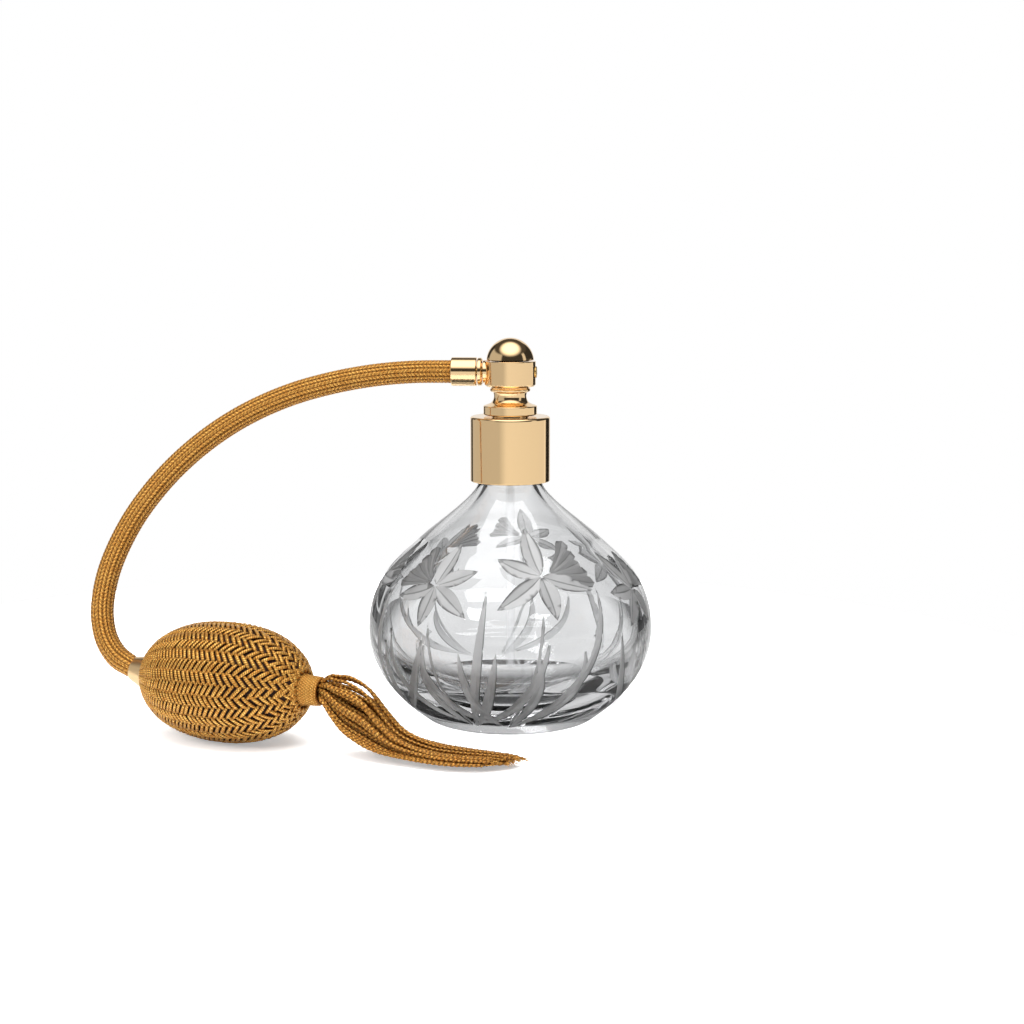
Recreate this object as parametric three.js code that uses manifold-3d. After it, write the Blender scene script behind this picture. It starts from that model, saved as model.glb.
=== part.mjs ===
// Perfume atomiser: a cut-crystal bottle with a screw-on spray mount, a braided hose and a squeeze bulb.
// Millimetres, +Z up. The origin is the centre of the bottle's flat foot, on the surface it stands on.
// The bottle, collar and spray head are turned about Z. The hose arm leaves towards -X.
import * as THREE from "three";
import { mergeVertices } from "three/addons/utils/BufferGeometryUtils.js";
import Module from "manifold-3d";

const wasm = await Module();
wasm.setup();

// ---- driving dimensions ----

const GAP = 0.3; // clearance kept between touching pieces
const FINE = 40; // facets round the bottle
const ROUND = 24; // facets round the metal pieces
const SMALL = 12; // facets round pieces inside others

const FOOT_R = 24; // the bottle's flat foot
const BODY_R = 40; // its widest
const BODY_Z = 25; // the height of its widest
const WALL = 3.5; // crystal thickness at the widest
const FLOOR_Z = 9; // top of the thick crystal base
const SHOULDER_R = 25.1;
const SHOULDER_Z = 51;
const NECK_R = 8.85; // visible neck, just under the collar
const FINISH_R = 7.9; // ground neck inside the collar
const NECK_BORE_R = 6.5;
const COLLAR_BOTTOM_Z = 66.9;
const RIM_Z = 77;

const COLLAR_R = 11.16;
const COLLAR_TOP_Z = 85.1;
const COLLAR_WALL = 0.56;
const RING_R = 7.5; // flange ring that sits on the collar
const WAIST_R = 4.5;
const WAIST_Z = 91.4;
const BARREL_R = 7.15;
const BARREL_BOTTOM_Z = 93.4;
const BARREL_TOP_Z = 100.45;
const DOME_R = 6.65;
const DOME_TOP_Z = 106.9;
const STEM_R = 5; // head stem, where it passes through the collar
const CHAMBER_R = 2.9; // air chamber inside the barrel
const RISER_R = 1.6; // liquid way up the head
const TUBE_R = 1.25; // dip tube
const TUBE_BORE_R = 0.75;

const ARM_Z = 97.4; // height of the nozzle and the hose arm
const ARM_YAW = THREE.MathUtils.degToRad(-5); // the hose arm leaves a little towards +Y
const ARM_BORE_R = 1.5;
const BOSS_R = 3.2;
const FERRULE_R = 4;
const FERRULE_START = 9.3; // distances from the bottle's axis, along the arm
const FERRULE_END = 16.4;

const HOSE_R = 3.15;
const HOSE_SIDES = 8;
const HOSE_STEPS = 36;
// The hose's centreline from inside its ferrule to the bulb's cone, as it lies.
const HOSE_ROUTE = [
  [-11.2, 0.98, 97.4],
  [-16.3, 1.4, 97.4],
  [-27.8, 2.4, 97.2],
  [-39.1, 3.0, 96.1],
  [-50.3, 3.3, 94.0],
  [-61.3, 3.1, 90.9],
  [-72.2, 2.4, 86.3],
  [-81.6, 1.4, 80.8],
  [-90.6, -0.1, 73.8],
  [-98.6, -2.0, 65.6],
  [-105.5, -4.4, 56.1],
  [-110.6, -7.2, 45.6],
  [-112.6, -9.3, 38.3],
  [-113.1, -11.7, 31.2],
  [-111.6, -14.2, 24.8],
  [-108.3, -16.5, 20.3],
  [-104.4, -18.1, 18.0],
];

const BULB_CENTRE = [-76.1, -29.2, 16.2];
const BULB_YAW = THREE.MathUtils.degToRad(-22); // its tail points towards -Y
const BULB_GIRTH = 15.9; // greatest radius of the knitted cover
const BULB_FULLNESS = 2.3; // exponent of the egg's outline: 2 is an ellipse
const COVER = { front: 25.4, tail: 24.6, girth: BULB_GIRTH };
const COVER_INSIDE = { front: 23.7, tail: 22.9, girth: BULB_GIRTH - 1.3 };
const RUBBER = { front: 23.1, tail: 22.4, girth: BULB_GIRTH - 1.7 };
const RUBBER_INSIDE = { front: 20.2, tail: 19.4, girth: BULB_GIRTH - 3.7 };
const COVER_FRONT = -23.6; // stations along the bulb's axis, from its centre
const COVER_TAIL = 22.8;
const RUBBER_FRONT = -21.2;
const RUBBER_TAIL = 21.2;
const CONE_START = -23.3;
const CONE_LENGTH = 6.1;
const CONE_BASE_R = 5.2;
const CONE_TIP_R = 3.25;
const CONE_PITCH = THREE.MathUtils.degToRad(10); // its small end is raised to meet the hose
const VALVE_R = 2.7;
const VALVE_BORE_R = 2.1;
const SLEEVE_START = 23.1;
const SLEEVE_END = 28.6;
const SLEEVE_R = 3.75;

// The tassel's skirt, as it falls from the sleeve and lies: centre x, y, z, half width, half height.
const SKIRT = [
  [-49.3, -40.0, 16.2, 3.0, 3.0],
  [-46.3, -41.1, 15.9, 5.0, 5.2],
  [-42.3, -42.6, 13.4, 6.6, 7.4],
  [-37.6, -44.2, 10.3, 7.6, 8.6],
  [-32.0, -46.2, 7.4, 8.0, 6.9],
  [-25.5, -48.5, 5.3, 8.0, 5.0],
  [-18.0, -51.3, 4.0, 7.4, 3.8],
  [-10.0, -54.0, 3.1, 6.2, 2.9],
  [-2.5, -56.0, 2.4, 4.2, 2.2],
  [3.0, -57.0, 1.9, 1.8, 1.6],
];
const SKIRT_SIDES = 14;

// ---- materials ----

const metal = (color, roughness) =>
  new THREE.MeshStandardMaterial({ color, roughness, metalness: 1 });
const plain = (color, roughness) =>
  new THREE.MeshStandardMaterial({ color, roughness, metalness: 0 });
const crystal = () =>
  new THREE.MeshStandardMaterial({
    color: "#eef2f4",
    roughness: 0.03,
    metalness: 0,
    transparent: true,
    opacity: 0.35,
  });
const gold = () => metal("#e8c98c", 0.12);
const innerBrass = () => metal("#c9a050", 0.35);
const goldThread = () => metal("#b07a22", 0.5);
const blackRubber = () => plain("#1c1b1a", 0.7);
const whiteSeal = () => plain("#e9e7e1", 0.5);
const clearPlastic = () => plain("#e6ecec", 0.15);

// ---- geometry helpers ----

// One closed surface with shared vertices, no collapsed faces, and its faces pointing out.
function closed(geometry) {
  const bare = new THREE.BufferGeometry();
  bare.setAttribute("position", geometry.getAttribute("position"));
  bare.setIndex(geometry.index);
  const merged = mergeVertices(bare, 1e-3);
  const index = merged.index.array;
  const corner = [0, 1, 2].map(() => new THREE.Vector3());
  const faces = [];
  let volume = 0;
  for (let i = 0; i < index.length; i += 3) {
    const face = [index[i], index[i + 1], index[i + 2]];
    if (new Set(face).size < 3) continue;
    face.forEach((v, k) => corner[k].fromBufferAttribute(merged.attributes.position, v));
    volume += corner[0].dot(corner[1].clone().cross(corner[2]));
    faces.push(face);
  }
  merged.setIndex(faces.flatMap((face) => (volume < 0 ? face.reverse() : face)));
  merged.computeVertexNormals();
  return merged;
}

function toSolid(geometry) {
  return new wasm.Manifold(
    new wasm.Mesh({
      numProp: 3,
      vertProperties: new Float32Array(geometry.attributes.position.array),
      triVerts: new Uint32Array(geometry.index.array),
    }),
  );
}

function fromSolid(solid) {
  const mesh = solid.getMesh();
  const geometry = new THREE.BufferGeometry();
  geometry.setAttribute("position", new THREE.BufferAttribute(mesh.vertProperties, 3));
  geometry.setIndex(new THREE.BufferAttribute(mesh.triVerts, 1));
  geometry.computeVertexNormals();
  return geometry;
}

// A profile of [radius, height] points, or a THREE.Path of them, turned about Z.
function turned(profile, facets = ROUND, curveSteps = 8) {
  const points = Array.isArray(profile)
    ? profile.map(([r, z]) => new THREE.Vector2(r, z))
    : profile.getPoints(curveSteps);
  return closed(new THREE.LatheGeometry(points, facets).rotateX(Math.PI / 2));
}

// The same, turned about X: heights run along +X.
const turnedAlongX = (profile, facets, curveSteps) =>
  turned(profile, facets, curveSteps).rotateY(Math.PI / 2);

// A ring of rectangular section, as a profile that closes on itself.
const ring = (inner, outer, low, high) => [
  [inner, low],
  [outer, low],
  [outer, high],
  [inner, high],
  [inner, low],
];

const disc = (radius, low, high) => [
  [0, low],
  [radius, low],
  [radius, high],
  [0, high],
];

function named(name, geometry, material) {
  const mesh = new THREE.Mesh(geometry, material);
  mesh.name = name;
  return mesh;
}

function groupOf(...meshes) {
  const group = new THREE.Group();
  group.add(...meshes);
  return group;
}

// ---- the bottle ----

function glassBottle() {
  const inner = BODY_R - WALL;
  const profile = new THREE.Path()
    .moveTo(0, 0)
    .lineTo(FOOT_R, 0)
    .bezierCurveTo(FOOT_R + 0.9, 1.2, BODY_R, 9.8, BODY_R, BODY_Z)
    .bezierCurveTo(BODY_R, 39.2, 31.85, 44.6, SHOULDER_R, SHOULDER_Z)
    .bezierCurveTo(21.4, 54.5, NECK_R, 63, NECK_R, COLLAR_BOTTOM_Z)
    .lineTo(FINISH_R, COLLAR_BOTTOM_Z + 1.3)
    .lineTo(FINISH_R, RIM_Z)
    .lineTo(NECK_BORE_R, RIM_Z)
    .lineTo(NECK_BORE_R, 66)
    .bezierCurveTo(NECK_BORE_R, 59, 18.5, 53, 23, 48.5)
    .bezierCurveTo(29.5, 42.5, inner, 38, inner, BODY_Z + 1)
    .bezierCurveTo(inner, 12, 20, FLOOR_Z, 0, FLOOR_Z);
  return named("glass_bottle", turned(profile, FINE, 5), crystal());
}

function neckParts() {
  const threadedRing = turned(ring(FINISH_R + GAP, 9.2, 68.6, 76.4));
  const rimWasher = turned(ring(4.9, 9, RIM_Z + GAP, 78.7));
  return groupOf(
    named("neck_thread_ring", threadedRing, innerBrass()),
    named("rim_washer", rimWasher, whiteSeal()),
  );
}

// ---- the spray mount, down the bottle's axis ----

function seatPlug() {
  const bore = TUBE_R + 0.35;
  const profile = [
    [bore, 70],
    [4.6, 70],
    [4.6, 79],
    [9.1, 79],
    [9.1, 79.9],
    [bore, 79.9],
    [bore, 70],
  ];
  return named("seat_plug", turned(profile), innerBrass());
}

function dipTube() {
  return named("dip_tube", turned(ring(TUBE_BORE_R, TUBE_R, 11.5, 79.4), SMALL), clearPlastic());
}

function collarParts() {
  const bore = STEM_R + GAP;
  const inside = COLLAR_R - COLLAR_WALL;
  const corner = 0.7;
  const shell = new THREE.Path()
    .moveTo(inside, COLLAR_BOTTOM_Z)
    .lineTo(COLLAR_R - 0.15, COLLAR_BOTTOM_Z)
    .lineTo(COLLAR_R, COLLAR_BOTTOM_Z + 0.15)
    .lineTo(COLLAR_R, COLLAR_TOP_Z - corner)
    .absarc(COLLAR_R - corner, COLLAR_TOP_Z - corner, corner, 0, Math.PI / 2)
    .lineTo(bore, COLLAR_TOP_Z)
    .lineTo(bore, COLLAR_TOP_Z - 1.6)
    .lineTo(inside, COLLAR_TOP_Z - 1.6)
    .lineTo(inside, COLLAR_BOTTOM_Z);
  const liner = [
    [9.5, 68.2],
    [inside - GAP, 68.2],
    [inside - GAP, 83.2],
    [bore, 83.2],
    [bore, 82.6],
    [9.5, 82.6],
    [9.5, 68.2],
  ];
  return groupOf(
    named("collar_shell", turned(shell, ROUND, 3), gold()),
    named("collar_liner", turned(liner), whiteSeal()),
  );
}

function sprayHead() {
  const profile = new THREE.Path()
    .moveTo(RISER_R, 81.1)
    .lineTo(8.8, 81.1)
    .lineTo(8.8, 82.3)
    .lineTo(STEM_R, 82.3)
    .lineTo(STEM_R, 85.5)
    .lineTo(RING_R - 0.3, 85.5)
    .lineTo(RING_R, 85.8)
    .lineTo(RING_R, 87.7)
    .lineTo(RING_R - 0.25, 88)
    .lineTo(5.4, 88.7)
    .bezierCurveTo(4.7, 89.3, WAIST_R, 90.4, WAIST_R, WAIST_Z)
    .lineTo(5.1, 91.9)
    .absarc(5.1, 92.45, 0.55, -Math.PI / 2, Math.PI / 2)
    .lineTo(6.5, BARREL_BOTTOM_Z)
    .lineTo(BARREL_R, BARREL_BOTTOM_Z + 0.5)
    .lineTo(BARREL_R, BARREL_TOP_Z - 0.25)
    .lineTo(BARREL_R - 0.25, BARREL_TOP_Z)
    .lineTo(5.3, BARREL_TOP_Z)
    .lineTo(5.3, 99.6)
    .lineTo(CHAMBER_R, 99.6)
    .lineTo(CHAMBER_R, 95.5)
    .lineTo(RISER_R, 95.5)
    .lineTo(RISER_R, 81.1);
  const bar = (radius, from, to) =>
    toSolid(turnedAlongX(disc(radius, from, to), SMALL).translate(0, 0, ARM_Z));
  const solid = toSolid(turned(profile, ROUND, 4))
    .add(bar(BOSS_R, -7.4, -5))
    .subtract(bar(ARM_BORE_R, -8, 0))
    .subtract(bar(1.9, 0, 8));
  return named("spray_head", fromSolid(solid), gold());
}

function domeParts() {
  const bottom = BARREL_TOP_Z + GAP;
  const centre = DOME_TOP_Z - DOME_R;
  const start = Math.asin((bottom - centre) / DOME_R);
  const profile = new THREE.Path()
    .moveTo(0, 98.9)
    .lineTo(2.6, 98.9)
    .lineTo(2.6, bottom)
    .absarc(0, centre, DOME_R, start, Math.PI / 2);
  return groupOf(
    named("dome_cap", turned(profile, ROUND, 5), gold()),
    named("dome_washer", turned(ring(CHAMBER_R + 0.1, 5, 99.9, BARREL_TOP_Z), SMALL), whiteSeal()),
  );
}

// Pieces in line with the nozzle and the hose arm. The nozzle faces +X, the arm -X.
function armParts() {
  const orifice = 0.35;
  const nut = [
    [ARM_BORE_R, -9],
    [3.9, -9],
    [3.9, -8],
    [3.45, -7.7],
    [ARM_BORE_R, -7.7],
    [ARM_BORE_R, -9],
  ];
  const mouth = HOSE_R + GAP;
  const ferrule = [
    [ARM_BORE_R, -FERRULE_START],
    [ARM_BORE_R, -10.6],
    [mouth, -10.6],
    [mouth, -FERRULE_END],
    [FERRULE_R - 0.2, -FERRULE_END],
    [FERRULE_R, -FERRULE_END + 0.2],
    [FERRULE_R, -FERRULE_START - 0.2],
    [FERRULE_R - 0.2, -FERRULE_START],
    [ARM_BORE_R, -FERRULE_START],
  ];
  const arm = groupOf(
    named("spray_nozzle", turnedAlongX(ring(orifice, 1.6, 5.2, 7.35), SMALL), innerBrass()),
    named("swirl_plug", turnedAlongX(disc(1.5, 3.3, 4.9), SMALL), whiteSeal()),
    named("air_nipple", turnedAlongX(ring(0.7, 1.2, -10.9, -4), SMALL), innerBrass()),
    named("hose_nut", turnedAlongX(nut), gold()),
    named("hose_ferrule", turnedAlongX(ferrule), gold()),
  );
  arm.position.z = ARM_Z;
  return arm;
}

function swivellingHead() {
  const washer = turned(ring(2.4, 8.4, 80.2, 80.8));
  const head = groupOf(
    sprayHead(),
    domeParts(),
    armParts(),
    named("swivel_washer", washer, whiteSeal()),
  );
  head.rotation.z = ARM_YAW;
  return head;
}

// ---- the hose ----

function hose() {
  const points = HOSE_ROUTE.map((p) => new THREE.Vector3(...p));
  const path = new THREE.CatmullRomCurve3(points, false, "centripetal");
  const section = new THREE.Shape(
    Array.from({ length: HOSE_SIDES }, (_, i) => {
      const angle = (2 * Math.PI * i) / HOSE_SIDES;
      return new THREE.Vector2(HOSE_R * Math.cos(angle), HOSE_R * Math.sin(angle));
    }),
  );
  const tube = new THREE.ExtrudeGeometry(section, { steps: HOSE_STEPS, extrudePath: path });
  return named("hose", closed(tube), goldThread());
}

// ---- the bulb, about its own axis: +X is its tail ----

// The egg's radius at a station: its two ends have lengths of their own.
function eggRadius(egg, station) {
  const share = Math.abs(station) / (station < 0 ? egg.front : egg.tail);
  return egg.girth * Math.sqrt(Math.max(0, 1 - share ** BULB_FULLNESS));
}

// The station at which an egg has narrowed to a mouth of that radius.
function mouthStation(egg, side, radius) {
  const length = side < 0 ? egg.front : egg.tail;
  return side * length * (1 - (radius / egg.girth) ** 2) ** (1 / BULB_FULLNESS);
}

function eggOutline(egg, from, to, steps) {
  return Array.from({ length: steps + 1 }, (_, i) => {
    const middle = (from + to) / 2;
    const station = middle - ((to - from) / 2) * Math.cos((Math.PI * i) / steps);
    return [eggRadius(egg, station), station];
  });
}

// An egg-shaped shell, open at a mouth in each end.
function eggShell(outside, inside, front, tail, frontMouth, tailMouth) {
  const steps = 9;
  const hollow = eggOutline(
    inside,
    mouthStation(inside, -1, frontMouth),
    mouthStation(inside, 1, tailMouth),
    steps,
  );
  const profile = [
    [frontMouth, front],
    ...eggOutline(outside, front, tail, steps),
    [tailMouth, tail],
    ...hollow.reverse(),
    [frontMouth, front],
  ];
  return turnedAlongX(profile, 20);
}

function rubberHalves() {
  const shell = toSolid(eggShell(RUBBER, RUBBER_INSIDE, RUBBER_FRONT, RUBBER_TAIL, 1.9, VALVE_R + 0.4));
  const size = 60;
  const block = (side) =>
    toSolid(
      closed(new THREE.BoxGeometry(size, size, size).translate(0, 0, side * (size / 2 + GAP / 2))),
    );
  return groupOf(
    named("rubber_bulb_lower", fromSolid(shell.intersect(block(-1))), blackRubber()),
    named("rubber_bulb_upper", fromSolid(shell.intersect(block(1))), blackRubber()),
  );
}

function coneFerrule() {
  const bore = 2.4;
  const profile = [
    [bore, 0],
    [CONE_BASE_R, 0],
    [CONE_TIP_R, -CONE_LENGTH + 0.15],
    [CONE_TIP_R - 0.15, -CONE_LENGTH],
    [bore, -CONE_LENGTH],
    [bore, 0],
  ];
  const cone = named("cone_ferrule", turnedAlongX(profile), gold());
  cone.position.x = CONE_START;
  cone.rotation.y = CONE_PITCH;
  return cone;
}

function tailValve() {
  const body = [
    [1.2, 15],
    [VALVE_R, 15],
    [VALVE_R, 25.5],
    [0.8, 25.5],
    [0.8, 20.3],
    [VALVE_BORE_R, 20.3],
    [VALVE_BORE_R, 17.5],
    [1.2, 17.5],
    [1.2, 15],
  ];
  return groupOf(
    named("inlet_valve_body", turnedAlongX(body, SMALL), innerBrass()),
    named("inlet_valve_disc", turnedAlongX(disc(VALVE_BORE_R - GAP, 18.6, 19.2), SMALL), blackRubber()),
  );
}

function tasselSleeve() {
  const bore = VALVE_R + GAP;
  const profile = [
    [bore, SLEEVE_START],
    [4.7, SLEEVE_START],
    [4.1, SLEEVE_START + 0.9],
    [SLEEVE_R, SLEEVE_START + 2.1],
    [SLEEVE_R, SLEEVE_END - 0.2],
    [SLEEVE_R - 0.2, SLEEVE_END],
    [bore, SLEEVE_END],
    [bore, SLEEVE_START],
  ];
  return named("tassel_sleeve", turnedAlongX(profile), goldThread());
}

function bulb() {
  const cover = eggShell(COVER, COVER_INSIDE, COVER_FRONT, COVER_TAIL, 5.5, VALVE_R + 0.4);
  const airTube = turnedAlongX(ring(0.8, 1.5, -25.6, -17.5), SMALL);
  const group = groupOf(
    named("knitted_cover", cover, goldThread()),
    rubberHalves(),
    coneFerrule(),
    named("bulb_air_tube", airTube, innerBrass()),
    tailValve(),
    tasselSleeve(),
  );
  group.position.set(...BULB_CENTRE);
  group.rotation.z = BULB_YAW;
  return group;
}

// ---- the tassel ----

// A capped cylinder whose rows of vertices are moved to the stations: an ellipse across the way at each.
function tasselSkirt() {
  const rows = SKIRT.length - 1;
  const column = closed(new THREE.CylinderGeometry(1, 1, 1, SKIRT_SIDES, rows));
  const at = column.attributes.position;
  for (let i = 0; i < at.count; i++) {
    const row = Math.round((0.5 - at.getY(i)) * rows);
    const [x, y, z, halfWidth, halfHeight] = SKIRT[row];
    const [nextX, nextY] = SKIRT[Math.min(row + 1, rows)];
    const [lastX, lastY] = SKIRT[Math.max(row - 1, 0)];
    const across = new THREE.Vector2(-(nextY - lastY), nextX - lastX).normalize();
    const side = at.getX(i) * halfWidth;
    at.setXYZ(i, x + across.x * side, y + across.y * side, z + at.getZ(i) * halfHeight);
  }
  return named("tassel_skirt", closed(column), goldThread());
}

const atomiser = groupOf(
  glassBottle(),
  neckParts(),
  seatPlug(),
  dipTube(),
  collarParts(),
  swivellingHead(),
  hose(),
  bulb(),
  tasselSkirt(),
);

export default atomiser;
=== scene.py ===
"""The looks of a perfume atomiser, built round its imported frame.

Pieces are worked out in millimetres and made in metres, in the frame's own place: +Z up, the bottle's foot on
the ground about the origin, the hose arm towards -X.
"""

import math
import random

import bmesh
import bpy
import numpy as np
from bpy.props import FloatProperty, FloatVectorProperty, IntProperty, PointerProperty
from mathutils import Matrix, Vector, geometry, kdtree


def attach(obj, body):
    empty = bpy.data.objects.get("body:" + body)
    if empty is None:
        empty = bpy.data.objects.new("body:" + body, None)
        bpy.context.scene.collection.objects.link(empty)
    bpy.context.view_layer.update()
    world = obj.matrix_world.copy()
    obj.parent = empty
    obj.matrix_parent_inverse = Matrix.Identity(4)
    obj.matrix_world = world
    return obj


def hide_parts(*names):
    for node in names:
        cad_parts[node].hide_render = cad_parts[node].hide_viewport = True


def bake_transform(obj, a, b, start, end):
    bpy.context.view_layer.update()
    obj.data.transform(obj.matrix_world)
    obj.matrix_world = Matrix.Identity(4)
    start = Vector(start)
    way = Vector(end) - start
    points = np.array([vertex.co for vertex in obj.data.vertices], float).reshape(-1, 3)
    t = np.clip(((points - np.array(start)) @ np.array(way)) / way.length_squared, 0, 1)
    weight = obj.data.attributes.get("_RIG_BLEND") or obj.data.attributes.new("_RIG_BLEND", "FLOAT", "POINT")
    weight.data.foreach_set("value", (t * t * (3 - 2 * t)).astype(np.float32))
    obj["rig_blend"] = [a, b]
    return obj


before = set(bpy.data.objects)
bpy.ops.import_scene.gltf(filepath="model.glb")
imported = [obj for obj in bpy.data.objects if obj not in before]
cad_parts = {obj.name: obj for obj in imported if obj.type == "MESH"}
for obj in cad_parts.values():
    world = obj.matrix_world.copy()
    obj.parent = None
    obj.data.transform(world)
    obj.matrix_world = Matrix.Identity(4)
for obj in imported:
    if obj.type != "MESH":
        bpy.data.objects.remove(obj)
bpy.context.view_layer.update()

bl_info = {
    "name": "Perfume atomiser",
    "version": (1, 0, 0),
    "blender": (4, 5, 0),
    "location": "3D View > Sidebar > Atomiser",
    "description": "Builds a cut-crystal perfume atomiser round its frame",
    "category": "Object",
}

MM = 0.001
TURN = 2 * math.pi

# ---- sizes that the frame also has, in millimetres ----

FOOT_R = 24.0
BODY_R = 40.0
BODY_Z = 25.0
INNER_R = 36.5
FLOOR_Z = 9.0
SHOULDER = (25.1, 51.0)
NECK_R = 8.85
FINISH_R = 7.9
NECK_BORE_R = 6.5
COLLAR_BOTTOM_Z = 66.9
RIM_Z = 77.0
COLLAR_R = 11.16
COLLAR_TOP_Z = 85.1
STEM_R = 5.0
RING_R = 7.5
BARREL_R = 7.15
BARREL_TOP_Z = 100.45
DOME_R = 6.65
DOME_TOP_Z = 106.9
ARM_Z = 97.4
ARM_YAW = math.radians(5)
ARM = Vector((-math.cos(ARM_YAW), math.sin(ARM_YAW), 0))
FERRULE_END = 16.4
HOSE_R = 3.15
# The hose's centreline from inside its ferrule to the bulb's cone, in metres, as in the part's source.
HOSE_ROUTE = [
    (-0.0112, 0.00098, 0.0974),
    (-0.0163, 0.0014, 0.0974),
    (-0.0278, 0.0024, 0.0972),
    (-0.0391, 0.0030, 0.0961),
    (-0.0503, 0.0033, 0.0940),
    (-0.0613, 0.0031, 0.0909),
    (-0.0722, 0.0024, 0.0863),
    (-0.0816, 0.0014, 0.0808),
    (-0.0906, -0.0001, 0.0738),
    (-0.0986, -0.0020, 0.0656),
    (-0.1055, -0.0044, 0.0561),
    (-0.1106, -0.0072, 0.0456),
    (-0.1126, -0.0093, 0.0383),
    (-0.1131, -0.0117, 0.0312),
    (-0.1116, -0.0142, 0.0248),
    (-0.1083, -0.0165, 0.0203),
    (-0.1044, -0.0181, 0.0180),
]
HOSE_MOUTH = Vector(HOSE_ROUTE[1])
BULB_CENTRE = Vector((-76.1, -29.2, 16.2))
BULB_YAW = math.radians(-22)
BULB_AXIS = Vector((math.cos(BULB_YAW), math.sin(BULB_YAW), 0))
BULB_GIRTH = 15.9
BULB_FULLNESS = 2.3
COVER_FRONT = -23.6
COVER_TAIL = 22.8
CONE_START = -23.3
CONE_LENGTH = 6.1
CONE_PITCH = math.radians(10)
CONE_AXIS = -BULB_AXIS * math.cos(CONE_PITCH) + Vector((0, 0, math.sin(CONE_PITCH)))
SLEEVE_START = 23.1
SLEEVE_END = 28.6
SLEEVE_R = 3.75

# ---- sizes of the visual model only, in millimetres ----

# The tassel's fall, from the sleeve to the tips: its middle's x, y and z, its half width and its half height.
# It keeps within the frame's skirt to a few millimetres.
SKIRT = [
    (-49.6, -39.9, 16.2, 2.9, 2.9),
    (-47.3, -40.7, 15.4, 4.6, 5.0),
    (-44.8, -41.7, 13.4, 5.8, 6.8),
    (-41.8, -42.9, 11.2, 6.8, 8.6),
    (-37.2, -44.5, 8.8, 7.6, 8.6),
    (-32.8, -46.0, 6.2, 8.0, 6.0),
    (-28.6, -47.5, 4.3, 8.3, 3.6),
    (-20.7, -50.2, 2.9, 8.6, 2.0),
    (-13.0, -52.9, 2.5, 8.2, 1.7),
    (-7.0, -54.4, 2.4, 7.0, 1.6),
    (0.0, -55.9, 2.2, 5.2, 1.4),
    (3.4, -56.4, 2.0, 4.2, 1.2),
]
HOSE_BEND = 84  # the length of hose, from its mouth, over which it bends
COVER_LAP = (0.45, 0.75)  # how far the knitted cover runs on past the frame's, at the cone and at the sleeve
THICKEST_CUT = 0.75
SHALLOWEST_CUT = 0.012
FROSTED_FROM = 0.02  # a cut's mean depth from which a face is frosted
CUT_TOP_Z = 58.0
# Between these heights, in metres, the bulb's skin passes from the part that stays to the part pressed down.
PRESSED_FROM = 0.0185
PRESSED_FULLY = 0.0335


# ---- settings ----


class AtomiserStageSettings(bpy.types.PropertyGroup):
    camera_height: FloatProperty(
        name="Camera height",
        description="Height of the lens above the ground",
        default=0.1327,
        unit="LENGTH",
    )
    camera_distance: FloatProperty(
        name="Camera distance",
        description="Distance of the lens in front of the bottle's axis",
        default=0.5,
        unit="LENGTH",
    )
    top_light: FloatProperty(
        name="Top light",
        description="Power of the softbox over the set",
        default=9.0,
        unit="POWER",
    )


class AtomiserGlassSettings(bpy.types.PropertyGroup):
    cut_slope: FloatProperty(
        name="Cut slope",
        description="How steeply the cuts fall towards their middle",
        default=0.24,
        min=0.05,
        max=0.6,
    )
    crystal_ior: FloatProperty(
        name="Index of refraction",
        description="Of the crystal",
        default=1.52,
    )
    density: FloatProperty(
        name="Density",
        description="How much light the crystal takes up over a metre",
        default=8.0,
        min=0,
    )
    flowers: IntProperty(
        name="Flowers",
        description="Number of cut flowers round the bottle",
        default=7,
        min=3,
        max=9,
    )


class AtomiserMetalSettings(bpy.types.PropertyGroup):
    gold: FloatVectorProperty(
        name="Gold",
        description="Colour of the polished fittings",
        subtype="COLOR",
        default=(0.93, 0.66, 0.36),
    )
    polish: FloatProperty(
        name="Roughness",
        description="Roughness of the polished fittings",
        default=0.07,
        min=0,
        max=1,
    )


class AtomiserThreadSettings(bpy.types.PropertyGroup):
    bright: FloatVectorProperty(
        name="Thread",
        description="Colour of the metallic thread where it catches the light",
        subtype="COLOR",
        default=(0.70, 0.31, 0.05),
    )
    deep: FloatVectorProperty(
        name="Thread in shade",
        description="Colour of the thread down in the gaps",
        subtype="COLOR",
        default=(0.03, 0.007, 0.002),
    )
    hose_ribs: IntProperty(
        name="Hose ribs",
        description="Lengthwise ribs round the hose",
        default=16,
        min=6,
        max=32,
    )
    knit_bands: IntProperty(
        name="Knit bands",
        description="Bands of slanting stitches round the bulb, an even number",
        default=32,
        min=12,
        max=48,
    )
    tassel_cords: IntProperty(
        name="Tassel cords",
        description="Cords in the tassel's skirt",
        default=78,
        min=10,
        max=120,
    )
    cord_radius: FloatProperty(
        name="Cord radius",
        description="Radius of a tassel cord",
        default=0.00055,
        unit="LENGTH",
    )


# ---- mesh helpers ----


def ring_faces(rows, columns, closed=False):
    """Quads between rings of points, each ring joined round, and the last to the first if closed."""
    row = np.arange(rows if closed else rows - 1)[:, None]
    here = np.arange(columns)[None, :]
    there = (here + 1) % columns
    above = (row + 1) % rows
    corners = [row * columns + here, row * columns + there, above * columns + there, above * columns + here]
    return np.stack(np.broadcast_arrays(*corners), axis=-1).reshape(-1, 4)


def ring_lay(columns, around, along):
    """For each corner of those quads, how far round it is, up to around, and how far along."""
    lay = np.zeros((len(along) - 1, columns, 4, 3))
    start = np.arange(columns) * around / columns
    lay[..., 0, 0] = lay[..., 3, 0] = start
    lay[..., 1, 0] = lay[..., 2, 0] = start + around / columns
    lay[..., 0, 1] = lay[..., 1, 1] = np.asarray(along)[:-1, None]
    lay[..., 2, 1] = lay[..., 3, 1] = np.asarray(along)[1:, None]
    return lay.reshape(-1, 3)


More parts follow.
